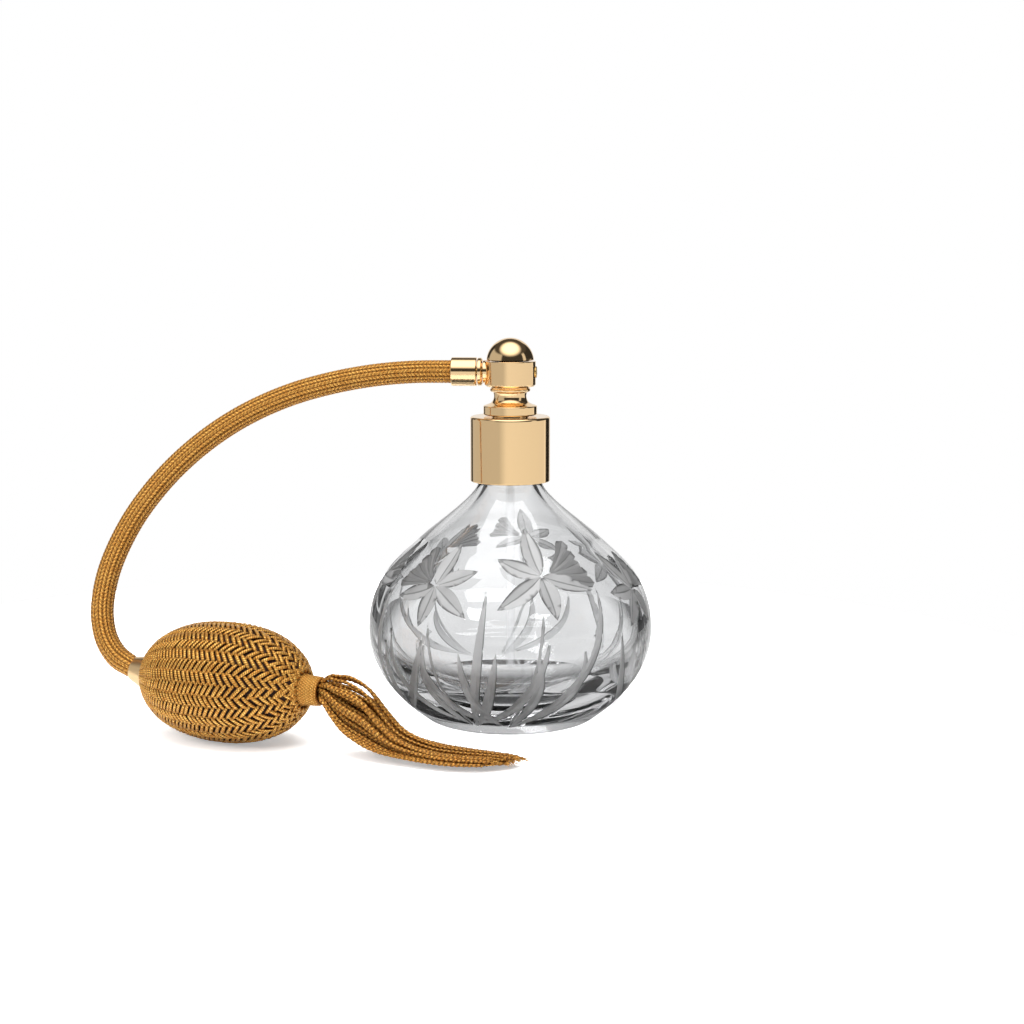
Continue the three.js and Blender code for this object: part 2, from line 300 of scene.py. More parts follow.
def capped(rings):
    """Points and faces of a tube through rings of points, with a fan over each end."""
    rows, columns = rings.shape[:2]
    points = np.vstack([rings.reshape(-1, 3), rings[0].mean(0), rings[-1].mean(0)])
    faces = ring_faces(rows, columns).tolist()
    first, last = rows * columns, rows * columns + 1
    top = (rows - 1) * columns
    for i in range(columns):
        j = (i + 1) % columns
        faces.append([first, j, i])
        faces.append([last, top + i, top + j])
    return points, faces


def merged(parts):
    """One set of points and faces from several."""
    points, faces, count = [], [], 0
    for part_points, part_faces in parts:
        points.append(np.asarray(part_points))
        faces.extend([v + count for v in face] for face in part_faces)
        count += len(part_points)
    return np.vstack(points), faces


def placed(part, place):
    """Points and faces moved to a place."""
    points = np.asarray(part[0]) @ np.array(place.to_3x3()).T + np.array(place.translation)
    return points, part[1]


def facing(origin, direction):
    """The place of a piece whose own +Z points along direction."""
    turn = Vector(direction).to_track_quat("Z", "Y").to_matrix().to_4x4()
    return Matrix.Translation(Vector(origin)) @ turn


def piece(name, part, material, sharp=None):
    """An object of points in millimetres and faces, shaded smooth but for edges sharper than that angle."""
    points, faces = part
    mesh = bpy.data.meshes.new(name)
    mesh.from_pydata((np.asarray(points) * MM).tolist(), [], faces)
    mesh.materials.append(material)
    mesh.shade_smooth()
    if sharp is not None:
        mesh.set_sharp_from_angle(angle=math.radians(sharp))
    made = bpy.data.objects.new(name, mesh)
    bpy.context.scene.collection.objects.link(made)
    return made


def corner_lay(made, lay):
    """Stores how the thread lies, for its material."""
    attribute = made.data.attributes.new("lay", "FLOAT_VECTOR", "CORNER")
    full = np.zeros((len(made.data.loops), 3), np.float32)
    full[: len(lay)] = lay
    attribute.data.foreach_set("vector", full.ravel())


def point_value(made, name, values):
    attribute = made.data.attributes.new(name, "FLOAT", "POINT")
    full = np.zeros(len(made.data.vertices), np.float32)
    full[: len(values)] = values
    attribute.data.foreach_set("value", full)


def point_vector(made, name, values):
    attribute = made.data.attributes.new(name, "FLOAT_VECTOR", "POINT")
    full = np.zeros((len(made.data.vertices), 3), np.float32)
    full[: len(values)] = values
    attribute.data.foreach_set("vector", full.ravel())


def rounded(corners, steps=6, hold=0.05):
    """A profile through corners: (radius, height) as it is, or (radius, height, fillet) rounded off.

    Each fillet has a point held close beside it, so that the flats next to it stay flat in shading.
    """
    profile = []
    for i, corner in enumerate(corners):
        here = Vector(corner[:2])
        if len(corner) == 2:
            profile.append(here)
            continue
        back = Vector(corners[i - 1][:2]) - here
        on = Vector(corners[(i + 1) % len(corners)][:2]) - here
        half = back.angle(on) / 2
        reach = min(corner[2] / math.tan(half), 0.45 * back.length, 0.45 * on.length)
        radius = reach * math.tan(half)
        centre = here + (back.normalized() + on.normalized()).normalized() * (radius / math.sin(half))
        start = here + back.normalized() * reach
        end = here + on.normalized() * reach
        if reach + hold < 0.5 * back.length:
            profile.append(start + back.normalized() * hold)
        for k in range(steps + 1):
            spoke = (start - centre).slerp(end - centre, k / steps)
            profile.append(centre + spoke.normalized() * radius)
        if reach + hold < 0.5 * on.length:
            profile.append(end + on.normalized() * hold)
    return [tuple(p) for p in profile]


def arc(centre_r, centre_z, radius, start, end, steps):
    """Points of a circle's arc in a profile, angles in degrees from the +radius direction."""
    angles = np.radians(np.linspace(start, end, steps + 1))
    return [(centre_r + radius * math.cos(a), centre_z + radius * math.sin(a)) for a in angles]


def bezier(start, one, two, end, steps):
    """Points of a cubic curve in a profile."""
    start, one, two, end = (np.array(p) for p in (start, one, two, end))
    q = np.linspace(0, 1, steps + 1)[:, None]
    curve = (1 - q) ** 3 * start + 3 * (1 - q) ** 2 * q * one + 3 * (1 - q) * q**2 * two + q**3 * end
    return [tuple(p) for p in curve]


def lathe(profile, sides=128, closed=False):
    """A profile turned about Z. It runs outwards and up, so that the faces point out."""
    profile = np.asarray(profile, float)
    first_pole = not closed and profile[0, 0] < 1e-6
    last_pole = not closed and profile[-1, 0] < 1e-6
    body = profile[1 if first_pole else 0 : len(profile) - (1 if last_pole else 0)]
    angle = np.linspace(0, TURN, sides, endpoint=False)
    rings = np.stack(
        np.broadcast_arrays(body[:, :1] * np.cos(angle), body[:, :1] * np.sin(angle), body[:, 1:]), axis=-1
    )
    points = rings.reshape(-1, 3)
    faces = ring_faces(len(body), sides, closed).tolist()
    if first_pole:
        pole = len(points)
        points = np.vstack([points, (0, 0, profile[0, 1])])
        faces += [[pole, (i + 1) % sides, i] for i in range(sides)]
    if last_pole:
        pole = len(points)
        points = np.vstack([points, (0, 0, profile[-1, 1])])
        top = (len(body) - 1) * sides
        faces += [[pole, top + i, top + (i + 1) % sides] for i in range(sides)]
    return points, faces


def between(low, high, t, a, b):
    """a at low, b at high, and in proportion at t."""
    return ((high - t) * a + (t - low) * b) / (high - low)


def smooth_path(points, spacing):
    """Points along a centripetal Catmull-Rom curve, spacing apart. Columns past the third ride along."""
    points = np.asarray(points, float)
    ends = [2 * points[0] - points[1], 2 * points[-1] - points[-2]]
    points = np.vstack([ends[0], points, ends[1]])
    out = []
    for p0, p1, p2, p3 in zip(points, points[1:], points[2:], points[3:]):
        knots = [0.0]
        for a, b in ((p0, p1), (p1, p2), (p2, p3)):
            knots.append(knots[-1] + math.sqrt(np.linalg.norm((b - a)[:3])))
        count = max(1, round(np.linalg.norm((p2 - p1)[:3]) / spacing))
        for t in np.linspace(knots[1], knots[2], count, endpoint=False):
            spans = enumerate(((p0, p1), (p1, p2), (p2, p3)))
            near = [between(knots[i], knots[i + 1], t, a, b) for i, (a, b) in spans]
            far = [between(knots[i], knots[i + 2], t, near[i], near[i + 1]) for i in (0, 1)]
            out.append(between(knots[1], knots[2], t, *far))
    out.append(points[-2])
    return np.array(out)


def travelled(path):
    """Distance along a path at each of its points."""
    steps = np.linalg.norm(np.diff(path[:, :3], axis=0), axis=1)
    return np.concatenate([[0], np.cumsum(steps)])


def path_frames(path, up):
    """For each point of a path, its direction and two vectors across it that don't twist."""
    ahead = np.gradient(path, axis=0)
    ahead /= np.linalg.norm(ahead, axis=1)[:, None]
    side = np.zeros_like(ahead)
    side[0] = np.cross(up, ahead[0])
    for i in range(1, len(path)):
        side[i] = side[i - 1] - ahead[i] * np.dot(side[i - 1], ahead[i])
        side[i] /= np.linalg.norm(side[i])
    side[0] /= np.linalg.norm(side[0])
    return ahead, side, np.cross(ahead, side)


def rings_round(path, side, rise, angle, reach):
    """A ring of points round each point of a path, at those angles and distances."""
    return (
        path[:, None, :]
        + (reach * np.cos(angle))[..., None] * side[:, None, :]
        + (reach * np.sin(angle))[..., None] * rise[:, None, :]
    )


# ---- shader helpers ----


def node(tree, kind, inputs=None, **settings):
    """A shader node with its settings and its inputs, each a value or another node's output."""
    made = tree.nodes.new(kind)
    for key, value in settings.items():
        setattr(made, key, value)
    for key, value in (inputs or {}).items():
        if isinstance(value, bpy.types.NodeSocket):
            tree.links.new(value, made.inputs[key])
        else:
            made.inputs[key].default_value = value
    return made


def sum_of(tree, operation, *values):
    """The result of a Math node."""
    return node(tree, "ShaderNodeMath", dict(enumerate(values)), operation=operation).outputs[0]


def ramp(tree, factor, stops):
    """A Color Ramp's colour. Each stop is a place and a grey or a colour."""
    made = node(tree, "ShaderNodeValToRGB", {"Fac": factor})
    elements = made.color_ramp.elements
    while len(elements) < len(stops):
        elements.new(0.5)
    for element, (place, colour) in zip(elements, stops):
        element.position = place
    for element, (place, colour) in zip(elements, stops):
        grey = isinstance(colour, (int, float))
        element.color = (colour, colour, colour, 1) if grey else (*colour, 1)
    return made.outputs["Color"]


def span(tree, value, low, high, at_low=0.0, at_high=1.0):
    """at_low where the value is low, at_high where it is high, and in proportion between."""
    ends = {"Value": value, "From Min": low, "From Max": high, "To Min": at_low, "To Max": at_high}
    return node(tree, "ShaderNodeMapRange", ends).outputs[0]


def mixed(tree, factor, one, two, blend_type="MIX"):
    """A Mix node's colour."""
    made = node(tree, "ShaderNodeMix", data_type="RGBA", blend_type=blend_type)
    for key, value in ((0, factor), (6, one), (7, two)):
        if isinstance(value, bpy.types.NodeSocket):
            tree.links.new(value, made.inputs[key])
        else:
            made.inputs[key].default_value = value if key == 0 else (*value, 1)
    return made.outputs[2]


def new_material(name, **values):
    """A material and its Principled BSDF, with constant values on the BSDF's own sockets."""
    material = bpy.data.materials.new(name)
    material.use_nodes = True
    tree = material.node_tree
    shader = tree.nodes["Principled BSDF"]
    for key, value in values.items():
        shader.inputs[key.replace("_", " ")].default_value = value
    return material, tree, shader


def effect(name, inputs, outputs):
    """An empty shader node group with float or colour sockets, its tree, and its two end nodes."""
    tree = bpy.data.node_groups.new(name, "ShaderNodeTree")
    for socket, kind, default in inputs:
        made = tree.interface.new_socket(socket, in_out="INPUT", socket_type=kind)
        made.default_value = default
    for socket, kind in outputs:
        tree.interface.new_socket(socket, in_out="OUTPUT", socket_type=kind)
    return tree, tree.nodes.new("NodeGroupInput").outputs, tree.nodes.new("NodeGroupOutput").inputs


def placed_effect(tree, group, **inputs):
    """An effect placed in a material, and its outputs."""
    made = tree.nodes.new("ShaderNodeGroup")
    made.node_tree = group
    for key, value in inputs.items():
        socket = made.inputs[key.replace("_", " ")]
        if isinstance(value, bpy.types.NodeSocket):
            tree.links.new(value, socket)
        else:
            socket.default_value = value
    return made.outputs


FLOAT, COLOUR = "NodeSocketFloat", "NodeSocketColor"


def handling_effect():
    """Faint smears and hairlines from wiping and use."""
    tree, given, out = effect(
        "Handling marks",
        [
            ("Roughness", FLOAT, 0.1),
            ("Smears", FLOAT, 0.03),
            ("Hairlines", FLOAT, 0.02),
            ("Scale", FLOAT, 90),
        ],
        [("Roughness", FLOAT), ("Height", FLOAT)],
    )
    place = node(tree, "ShaderNodeTexCoord").outputs["Object"]
    smear = node(tree, "ShaderNodeTexNoise", {"Vector": place, "Scale": given["Scale"], "Detail": 3.0})
    stretched = node(tree, "ShaderNodeMapping", {"Vector": place, "Scale": (900, 1300, 160)})
    hair = node(tree, "ShaderNodeTexNoise", {"Vector": stretched.outputs[0], "Scale": 4.0, "Detail": 1.0})
    line = sum_of(tree, "POWER", hair.outputs[0], 5.0)
    rough = sum_of(tree, "MULTIPLY_ADD", smear.outputs[0], given["Smears"], given["Roughness"])
    tree.links.new(sum_of(tree, "MULTIPLY_ADD", line, given["Hairlines"], rough), out["Roughness"])
    tree.links.new(sum_of(tree, "MULTIPLY", line, given["Hairlines"]), out["Height"])
    return tree


def yarn_effect():
    """Metallic yarn: slanting filaments over a darker core, with painted shade in the gaps and painted
    glints.
    """
    tree, given, out = effect(
        "Metallic yarn",
        [
            ("Around", FLOAT, 4),
            ("Along", FLOAT, 2),
            ("Glint", FLOAT, 0.5),
            ("Bright", COLOUR, (0.8, 0.5, 0.13, 1)),
            ("Deep", COLOUR, (0.1, 0.035, 0.008, 1)),
            ("Depth", FLOAT, 1),
            ("Contrast", FLOAT, 0.65),
            ("Roughness", FLOAT, 0.45),
        ],
        [("Color", COLOUR), ("Roughness", FLOAT), ("Height", FLOAT)],
    )
    lay = node(tree, "ShaderNodeAttribute", attribute_name="lay").outputs["Vector"]
    parts = node(tree, "ShaderNodeSeparateXYZ", {0: lay}).outputs
    turns = sum_of(tree, "MULTIPLY", sum_of(tree, "PINGPONG", parts["X"], 1.0), given["Around"])
    phase = sum_of(tree, "MULTIPLY_ADD", parts["Y"], given["Along"], turns)
    wave = sum_of(tree, "ABSOLUTE", sum_of(tree, "SINE", sum_of(tree, "MULTIPLY", phase, math.pi)))
    filament = sum_of(tree, "POWER", wave, 0.6)
    fine = sum_of(tree, "MULTIPLY", parts["Y"], 1.7)
    seed = node(tree, "ShaderNodeCombineXYZ", {0: sum_of(tree, "FLOOR", phase), 1: fine, 2: parts["Z"]})
    speckle = node(tree, "ShaderNodeTexNoise", {"Vector": seed.outputs[0], "Scale": 1.6, "Detail": 2.0})
    glint = span(tree, speckle.outputs[0], 0.35, 0.68)
    # Painted shade: darker between the filaments, and where the given shade is low.
    gap = sum_of(tree, "MULTIPLY", sum_of(tree, "SUBTRACT", filament, 1.0), given["Contrast"])
    lit = sum_of(tree, "MULTIPLY", sum_of(tree, "ADD", gap, 1.0), given["Depth"])
    body = mixed(tree, lit, given["Deep"], given["Bright"])
    # Painted highlight: a glint brightens the colour towards pale yellow, and it also lowers the roughness.
    shine = sum_of(tree, "MULTIPLY", glint, given["Glint"])
    tint_and_glint = mixed(tree, sum_of(tree, "MULTIPLY", shine, lit), (0.86, 0.78, 0.7), (1.5, 2.1, 3.4))
    tree.links.new(mixed(tree, 1.0, body, tint_and_glint, "MULTIPLY"), out["Color"])
    tree.links.new(sum_of(tree, "MULTIPLY_ADD", glint, -0.14, given["Roughness"]), out["Roughness"])
    tree.links.new(filament, out["Height"])
    return tree


def grain_effect():
    """The fine mottle of moulded rubber and plastic and of brushed brass."""
    tree, given, out = effect(
        "Moulded grain",
        [("Scale", FLOAT, 1500), ("Roughness", FLOAT, 0.5), ("Spread", FLOAT, 0.1)],
        [("Mottle", FLOAT), ("Roughness", FLOAT)],
    )
    place = node(tree, "ShaderNodeTexCoord").outputs["Object"]
    grain = node(tree, "ShaderNodeTexNoise", {"Vector": place, "Scale": given["Scale"], "Detail": 4.0})
    tree.links.new(grain.outputs[0], out["Mottle"])
    centred = sum_of(tree, "SUBTRACT", grain.outputs[0], 0.5)
    rough = sum_of(tree, "MULTIPLY_ADD", centred, given["Spread"], given["Roughness"])
    tree.links.new(rough, out["Roughness"])
    return tree


def bump(tree, shader, height, distance, strength):
    """Relief in a material's normal, with its height in metres."""
    made = node(tree, "ShaderNodeBump", {"Height": height, "Distance": distance, "Strength": strength})
    tree.links.new(made.outputs[0], shader.inputs["Normal"])


class Finishes:
    """The finishes, made once and shared by the pieces."""

    effects = {}
    materials = {}


def shared_effect(maker):
    """An effect's node group, made the first time it is asked for."""
    if maker.__name__ not in Finishes.effects:
        Finishes.effects[maker.__name__] = maker()
    return Finishes.effects[maker.__name__]


def gold_finish(name, colour, roughness):
    """Gold plate with faint smears and hairlines."""
    material, tree, shader = new_material(name, Metallic=1.0)
    handling = shared_effect(handling_effect)
    marks = placed_effect(tree, handling, Roughness=roughness, Smears=0.05, Hairlines=0.03)
    tree.links.new(marks["Roughness"], shader.inputs["Roughness"])
    tone = node(tree, "ShaderNodeTexNoise", {"Scale": 60.0, "Detail": 2.0})
    tint = mixed(tree, tone.outputs[0], tuple(c * 0.97 for c in colour), tuple(colour))
    tree.links.new(tint, shader.inputs["Base Color"])
    bump(tree, shader, marks["Height"], 0.00001, 0.1)
    return material


def polished_gold():
    settings = bpy.context.scene.atomiser_metal
    return gold_finish("Polished gold", settings.gold, settings.polish)


def satin_gold():
    """The softer plate of the cone at the bulb."""
    settings = bpy.context.scene.atomiser_metal
    return gold_finish("Satin gold", [c * 0.9 for c in settings.gold], settings.polish + 0.2)


def grained(name, colour, roughness, metallic=0.0, spread=0.12, scale=1500.0):
    """A moulded or turned finish with a fine mottle."""
    material, tree, shader = new_material(name, Metallic=metallic)
    grain = placed_effect(tree, shared_effect(grain_effect), Roughness=roughness, Spread=spread, Scale=scale)
    shade = mixed(tree, grain["Mottle"], tuple(c * 0.82 for c in colour), colour)
    tree.links.new(shade, shader.inputs["Base Color"])
    tree.links.new(grain["Roughness"], shader.inputs["Roughness"])
    bump(tree, shader, grain["Mottle"], 0.00003, 0.4)
    return material


def yarn(name, around, along, glint, contrast=0.65, metallic=0.75, roughness=0.42, tint=1.0):
    """A finish of metallic yarn. The lay attribute says how the cord runs; a point attribute holds its
    painted shade.
    """
    settings = bpy.context.scene.atomiser_thread
    material, tree, shader = new_material(name, Metallic=metallic)
    # Painted shade, worked out for each point of the cord or stitch.
    relief_shade = node(tree, "ShaderNodeAttribute", attribute_name="relief_shade").outputs["Fac"]
    look = placed_effect(
        tree,
        shared_effect(yarn_effect),
        Around=around,
        Along=along,
        Glint=glint,
        Bright=(*(c * tint for c in settings.bright), 1),
        Deep=(*settings.deep, 1),
        Depth=relief_shade,
        Contrast=contrast,
        Roughness=roughness,
    )
    tree.links.new(look["Color"], shader.inputs["Base Color"])
    tree.links.new(look["Roughness"], shader.inputs["Roughness"])
    bump(tree, shader, look["Height"], 0.00008, 0.7)
    return material


def clear_to_shadows(tree, shader, colour=(1, 1, 1, 1)):
    """Lets the light that casts shadows pass straight through a material."""
    clear = node(tree, "ShaderNodeBsdfTransparent", {"Color": colour})
    shadow = node(tree, "ShaderNodeLightPath").outputs["Is Shadow Ray"]
    blended = node(tree, "ShaderNodeMixShader", {0: shadow})
    tree.links.new(shader.outputs[0], blended.inputs[1])
    tree.links.new(clear.outputs[0], blended.inputs[2])
    tree.links.new(blended.outputs[0], tree.nodes["Material Output"].inputs["Surface"])


def see_through(name, frosted=False):
    """Clear or cut crystal, greyer where it is thick. Light for shadows passes straight through.

    A cut's cut attribute holds how far across it a point is, from -1 to 1, its painted grey, and how dark the
    painted shade along its middle is.
    """
    settings = bpy.context.scene.atomiser_glass
    material, tree, shader = new_material(
        name,
        Base_Color=(0.975, 0.98, 0.985, 1),
        Transmission_Weight=0.72 if frosted else 1.0,
        Metallic=0.0,
        IOR=settings.crystal_ior,
        Roughness=0.0,
    )
    if frosted:
        place = node(tree, "ShaderNodeTexCoord").outputs["Object"]
        grain = node(tree, "ShaderNodeTexNoise", {"Vector": place, "Scale": 2600.0, "Detail": 3.0})
        stroke = node(tree, "ShaderNodeTexNoise", {"Vector": place, "Scale": 420.0, "Detail": 2.0})
        rough = sum_of(tree, "MULTIPLY_ADD", stroke.outputs[0], 0.16, 0.3)
        tree.links.new(rough, shader.inputs["Roughness"])
        cut = node(tree, "ShaderNodeAttribute", attribute_name="cut").outputs["Vector"]
        parts = node(tree, "ShaderNodeSeparateXYZ", {0: cut}).outputs
        across = sum_of(tree, "MULTIPLY_ADD", parts["X"], 0.5, 0.5)
        # Painted shade: a dark line along one outline and a lighter one along the other, a dark line down the
        # middle, and the grey of the cut's kind.
        edge = ramp(
            tree, across, [(0.0, 0.1), (0.07, 0.16), (0.16, 0.94), (0.5, 1.0), (0.93, 1.0), (1.0, 0.72)]
        )
        vein = ramp(
            tree, across, [(0.0, 0.0), (0.42, 0.0), (0.485, 1.0), (0.515, 1.0), (0.56, 0.0), (1.0, 0.0)]
        )
        vein_shaded = sum_of(tree, "MULTIPLY_ADD", sum_of(tree, "MULTIPLY", vein, parts["Z"]), -0.75, 1.0)
        tone = sum_of(tree, "MULTIPLY", sum_of(tree, "MULTIPLY", edge, vein_shaded), parts["Y"])
        mottle = sum_of(tree, "MULTIPLY_ADD", stroke.outputs[0], 0.2, 0.9)
        tree.links.new(sum_of(tree, "MULTIPLY", tone, mottle), shader.inputs["Base Color"])
        bump(tree, shader, grain.outputs[0], 0.00003, 0.4)
    grey = (0.5, 0.5, 0.51, 1)
    thick = node(tree, "ShaderNodeVolumeAbsorption", {"Color": grey, "Density": settings.density})
    tree.links.new(thick.outputs[0], tree.nodes["Material Output"].inputs["Volume"])
    clear_to_shadows(tree, shader, (0.97, 0.975, 0.98, 1))
    return material


def tube_plastic():
    """The dip tube's clear plastic, hardly seen in the crystal."""
    material, tree, shader = new_material(
        "Clear tube", Base_Color=(0.86, 0.87, 0.88, 1), Alpha=0.14, Metallic=0.0, IOR=1.45
    )
    grain = placed_effect(tree, shared_effect(grain_effect), Roughness=0.04, Spread=0.04, Scale=300.0)
    tree.links.new(grain["Roughness"], shader.inputs["Roughness"])
    clear_to_shadows(tree, shader)
    return material


MAKERS = {
    "gold": polished_gold,
    "brass": lambda: grained("Inner brass", (0.62, 0.42, 0.16), 0.34, metallic=1.0, scale=900.0),
    "seal": lambda: grained("White seal", (0.82, 0.80, 0.75), 0.5),
    "rubber": lambda: grained("Black rubber", (0.02, 0.019, 0.018), 0.62, scale=2200.0),
    "tube": tube_plastic,
    "crystal": lambda: see_through("Clear crystal"),
    "cut": lambda: see_through("Cut crystal", frosted=True),
    "satin": satin_gold,
    "hose": lambda: yarn("Braided hose thread", 3.0, 4.0, 0.9, contrast=0.4, roughness=0.3, tint=1.22),
    "knit": lambda: yarn("Knitted cover thread", 2.0, 1.6, 1.0, contrast=0.75, roughness=0.38, tint=0.98),
    # A dark sheet under the stitches, standing for the shade in the gaps over the dark rubber.
    "shade_sheet": lambda: grained("Cover backing", (0.03, 0.010, 0.004), 0.85, scale=700.0),
    "sleeve": lambda: yarn("Woven sleeve thread", 1.0, 2.4, 1.0, contrast=0.4, tint=1.15),
    "tassel": lambda: yarn(
        "Tassel cord thread", 1.0, 1.25, 0.9, contrast=1.0, metallic=0.7, roughness=0.36, tint=1.3
    ),
}


def finish(name):
    """A finish, made the first time it is asked for."""
    if name not in Finishes.materials:
        Finishes.materials[name] = MAKERS[name]()
    return Finishes.materials[name]


# ---- the stage ----

BACKDROP = 0.82  # the bright walls before and behind the bottle, as seen through the glass
SIDE_WALL = 0.4  # the walls at its sides
FLAG = 0.015  # the black flags between the walls
TABLE_X = -0.03  # the table's middle, in metres
TABLE_Y = -0.01
TABLE_R = 230
# Seen through the glass, the table is painted dark up to its middle and glows from that far behind it, in
# metres.
TABLE_DARK = 0.0
TABLE_BRIGHT = 0.03
TABLE_WIDE = 0.05  # how far the bright part reaches to each side, and how softly it ends
TABLE_FADE = 0.03


def studio_world():
    """A pale room with a broad soft light overhead, for the gold and the thread.

    Seen through the glass, it is a bright wall between black flags, and the lens sees it as plain white.
    """
    world = bpy.data.worlds.new("Studio room")
    world.use_nodes = True
    tree = world.node_tree
    tree.nodes.clear()
    way = node(tree, "ShaderNodeTexCoord").outputs["Generated"]
    parts = node(tree, "ShaderNodeSeparateXYZ", {0: way}).outputs
    bearing = sum_of(tree, "ARCTAN2", parts["X"], parts["Y"])
    turn = sum_of(tree, "MULTIPLY_ADD", bearing, 1 / TURN, 0.5)

    def round_the_room(*stops):
        return ramp(tree, turn, [((degrees + 180) / 360, grey) for degrees, grey in stops])

    def by_height(low, high, start, end):
        return mixed(tree, span(tree, parts["Z"], start, end), low, high)

    low = round_the_room(
        (-180, 0.95), (-168, 0.93), (-148, 0.62), (-44, 0.6), (-40, 0.02), (-27, 0.02), (-25, 0.9),
        (26, 0.9), (28, 0.02), (54, 0.02), (58, 1.1), (66, 0.86), (180, 0.95),
    )
    high = round_the_room(
        (-180, 0.05), (-140, 0.05), (-132, 0.6), (-60, 0.6), (-52, 0.04), (-28, 0.04), (-25, 0.9),
        (26, 0.9), (29, 0.04), (95, 0.04), (98, 0.8), (112, 0.8), (115, 0.05), (180, 0.05),
    )
    room = by_height(by_height(low, high, 0.05, 0.09), (0.08, 0.075, 0.07), 0.5, 0.6)
    overhead = node(tree, "ShaderNodeVectorMath", {0: way, 1: (0, -0.31, 0.951)}, operation="DOT_PRODUCT")
    glow = node(
        tree,
        "ShaderNodeMapRange",
        {"Value": overhead.outputs["Value"], "From Min": 0.66, "From Max": 0.95, "To Max": 2.0},
        interpolation_type="SMOOTHSTEP",
    ).outputs[0]
    room = mixed(tree, 1.0, room, glow, "ADD")
    field = round_the_room(
        (-180, BACKDROP), (-152, BACKDROP), (-146, FLAG), (-118, FLAG), (-108, SIDE_WALL), (-80, SIDE_WALL),
        (-72, FLAG), (-40, FLAG), (-34, BACKDROP), (34, BACKDROP), (40, FLAG), (72, FLAG),
        (80, SIDE_WALL), (108, SIDE_WALL), (118, FLAG), (146, FLAG), (152, BACKDROP), (180, BACKDROP),
    )
    field = by_height(field, (0.12, 0.12, 0.12), 0.45, 0.7)
    path = node(tree, "ShaderNodeLightPath").outputs
    bounced = mixed(tree, path["Is Transmission Ray"], room, field)
    shown = mixed(tree, path["Is Camera Ray"], bounced, (1, 1, 1))
    light = node(tree, "ShaderNodeBackground", {"Color": shown, "Strength": 1.0})
    output = node(tree, "ShaderNodeOutputWorld")
    tree.links.new(light.outputs[0], output.inputs["Surface"])
    bpy.context.scene.world = world


def softbox(name, place, target, width, height, power):
    """A soft lamp at a place, turned towards its target. It doesn't show in the gold."""
    lamp = bpy.data.lights.new(name, "AREA")
    lamp.shape = "RECTANGLE"
    lamp.size = width
    lamp.size_y = height
    lamp.energy = power
    made = bpy.data.objects.new(name, lamp)
    bpy.context.scene.collection.objects.link(made)
    made.location = place
    made.rotation_euler = (Vector(target) - Vector(place)).to_track_quat("-Z", "Y").to_euler()
    made.visible_glossy = False


def table_finish():
    """White to the lens by a painted glow. Seen through the glass, it glows behind the bottle and is dark
    elsewhere.
    """
    material, tree, shader = new_material(
        "Pale table", Roughness=0.6, Metallic=0.0, Emission_Color=(1, 1, 1, 1)
    )
    place = node(tree, "ShaderNodeTexCoord").outputs["Object"]
    grain = node(tree, "ShaderNodeTexNoise", {"Vector": place, "Scale": 400.0, "Detail": 3.0})
    pale = mixed(tree, grain.outputs[0], (0.93, 0.93, 0.93), (0.96, 0.96, 0.96))
    parts = node(tree, "ShaderNodeSeparateXYZ", {0: place}).outputs
    back = span(tree, parts["Y"], TABLE_DARK, TABLE_BRIGHT)
    sideways = sum_of(tree, "ABSOLUTE", sum_of(tree, "ADD", parts["X"], TABLE_X))
    share = sum_of(tree, "MULTIPLY", back, span(tree, sideways, TABLE_WIDE + TABLE_FADE, TABLE_WIDE))
    path = node(tree, "ShaderNodeLightPath").outputs
    bottle = (-TABLE_X, -TABLE_Y, 0)
    foot = node(tree, "ShaderNodeVectorMath", {0: place, 1: bottle}, operation="DISTANCE").outputs["Value"]
    # Painted shade in reflections, darker near the bottle's foot, and near black through the glass.
    bounced = mixed(tree, span(tree, foot, 0.035, 0.06), (0.12, 0.12, 0.12), (0.72, 0.72, 0.72))
    seen = mixed(tree, path["Is Transmission Ray"], bounced, (0.02, 0.02, 0.02))
    tree.links.new(mixed(tree, path["Is Camera Ray"], seen, pale), shader.inputs["Base Color"])
    # Painted glow: to the lens, stronger towards the table's edge, and through the glass, behind the bottle.
    far = node(tree, "ShaderNodeVectorMath", {0: place}, operation="LENGTH").outputs["Value"]
    lift = span(tree, far, 0.11, 0.2, 0.38, 1.0)
    behind = sum_of(tree, "MULTIPLY", share, BACKDROP)
    through_glass = sum_of(tree, "MULTIPLY", path["Is Transmission Ray"], behind)
    table_glow = sum_of(tree, "MULTIPLY_ADD", path["Is Camera Ray"], lift, through_glass)
    tree.links.new(table_glow, shader.inputs["Emission Strength"])
    return material


def build_stage(settings):
    """The camera, the room, the lamps and the table."""
    scene = bpy.context.scene
    camera = bpy.data.cameras.new("Camera")
    camera.lens = 63.13
    camera.sensor_width = 36
    camera.clip_start = 0.01
    eye = bpy.data.objects.new("Camera", camera)
    scene.collection.objects.link(eye)
    eye.location = (0.0005, -settings.camera_distance, settings.camera_height)
    eye.rotation_euler = (math.radians(81.5), 0, 0)
    scene.camera = eye
    scene.view_settings.view_transform = "Standard"
    studio_world()
    softbox("Top softbox", (-0.04, -0.1, 0.75), (-0.02, 0.0, 0.0), 0.72, 0.8, settings.top_light)
    softbox("Front key", (-0.45, -0.7, 0.55), (-0.06, 0.0, 0.04), 0.3, 0.3, 3.5)
    slab = lathe([(0, -0.4), (TABLE_R, -0.4), (TABLE_R, 0), (0, 0)], 96)
    table = piece("table", slab, table_finish())
    table.location = (TABLE_X, TABLE_Y, -0.0002)


# ---- the hose ----


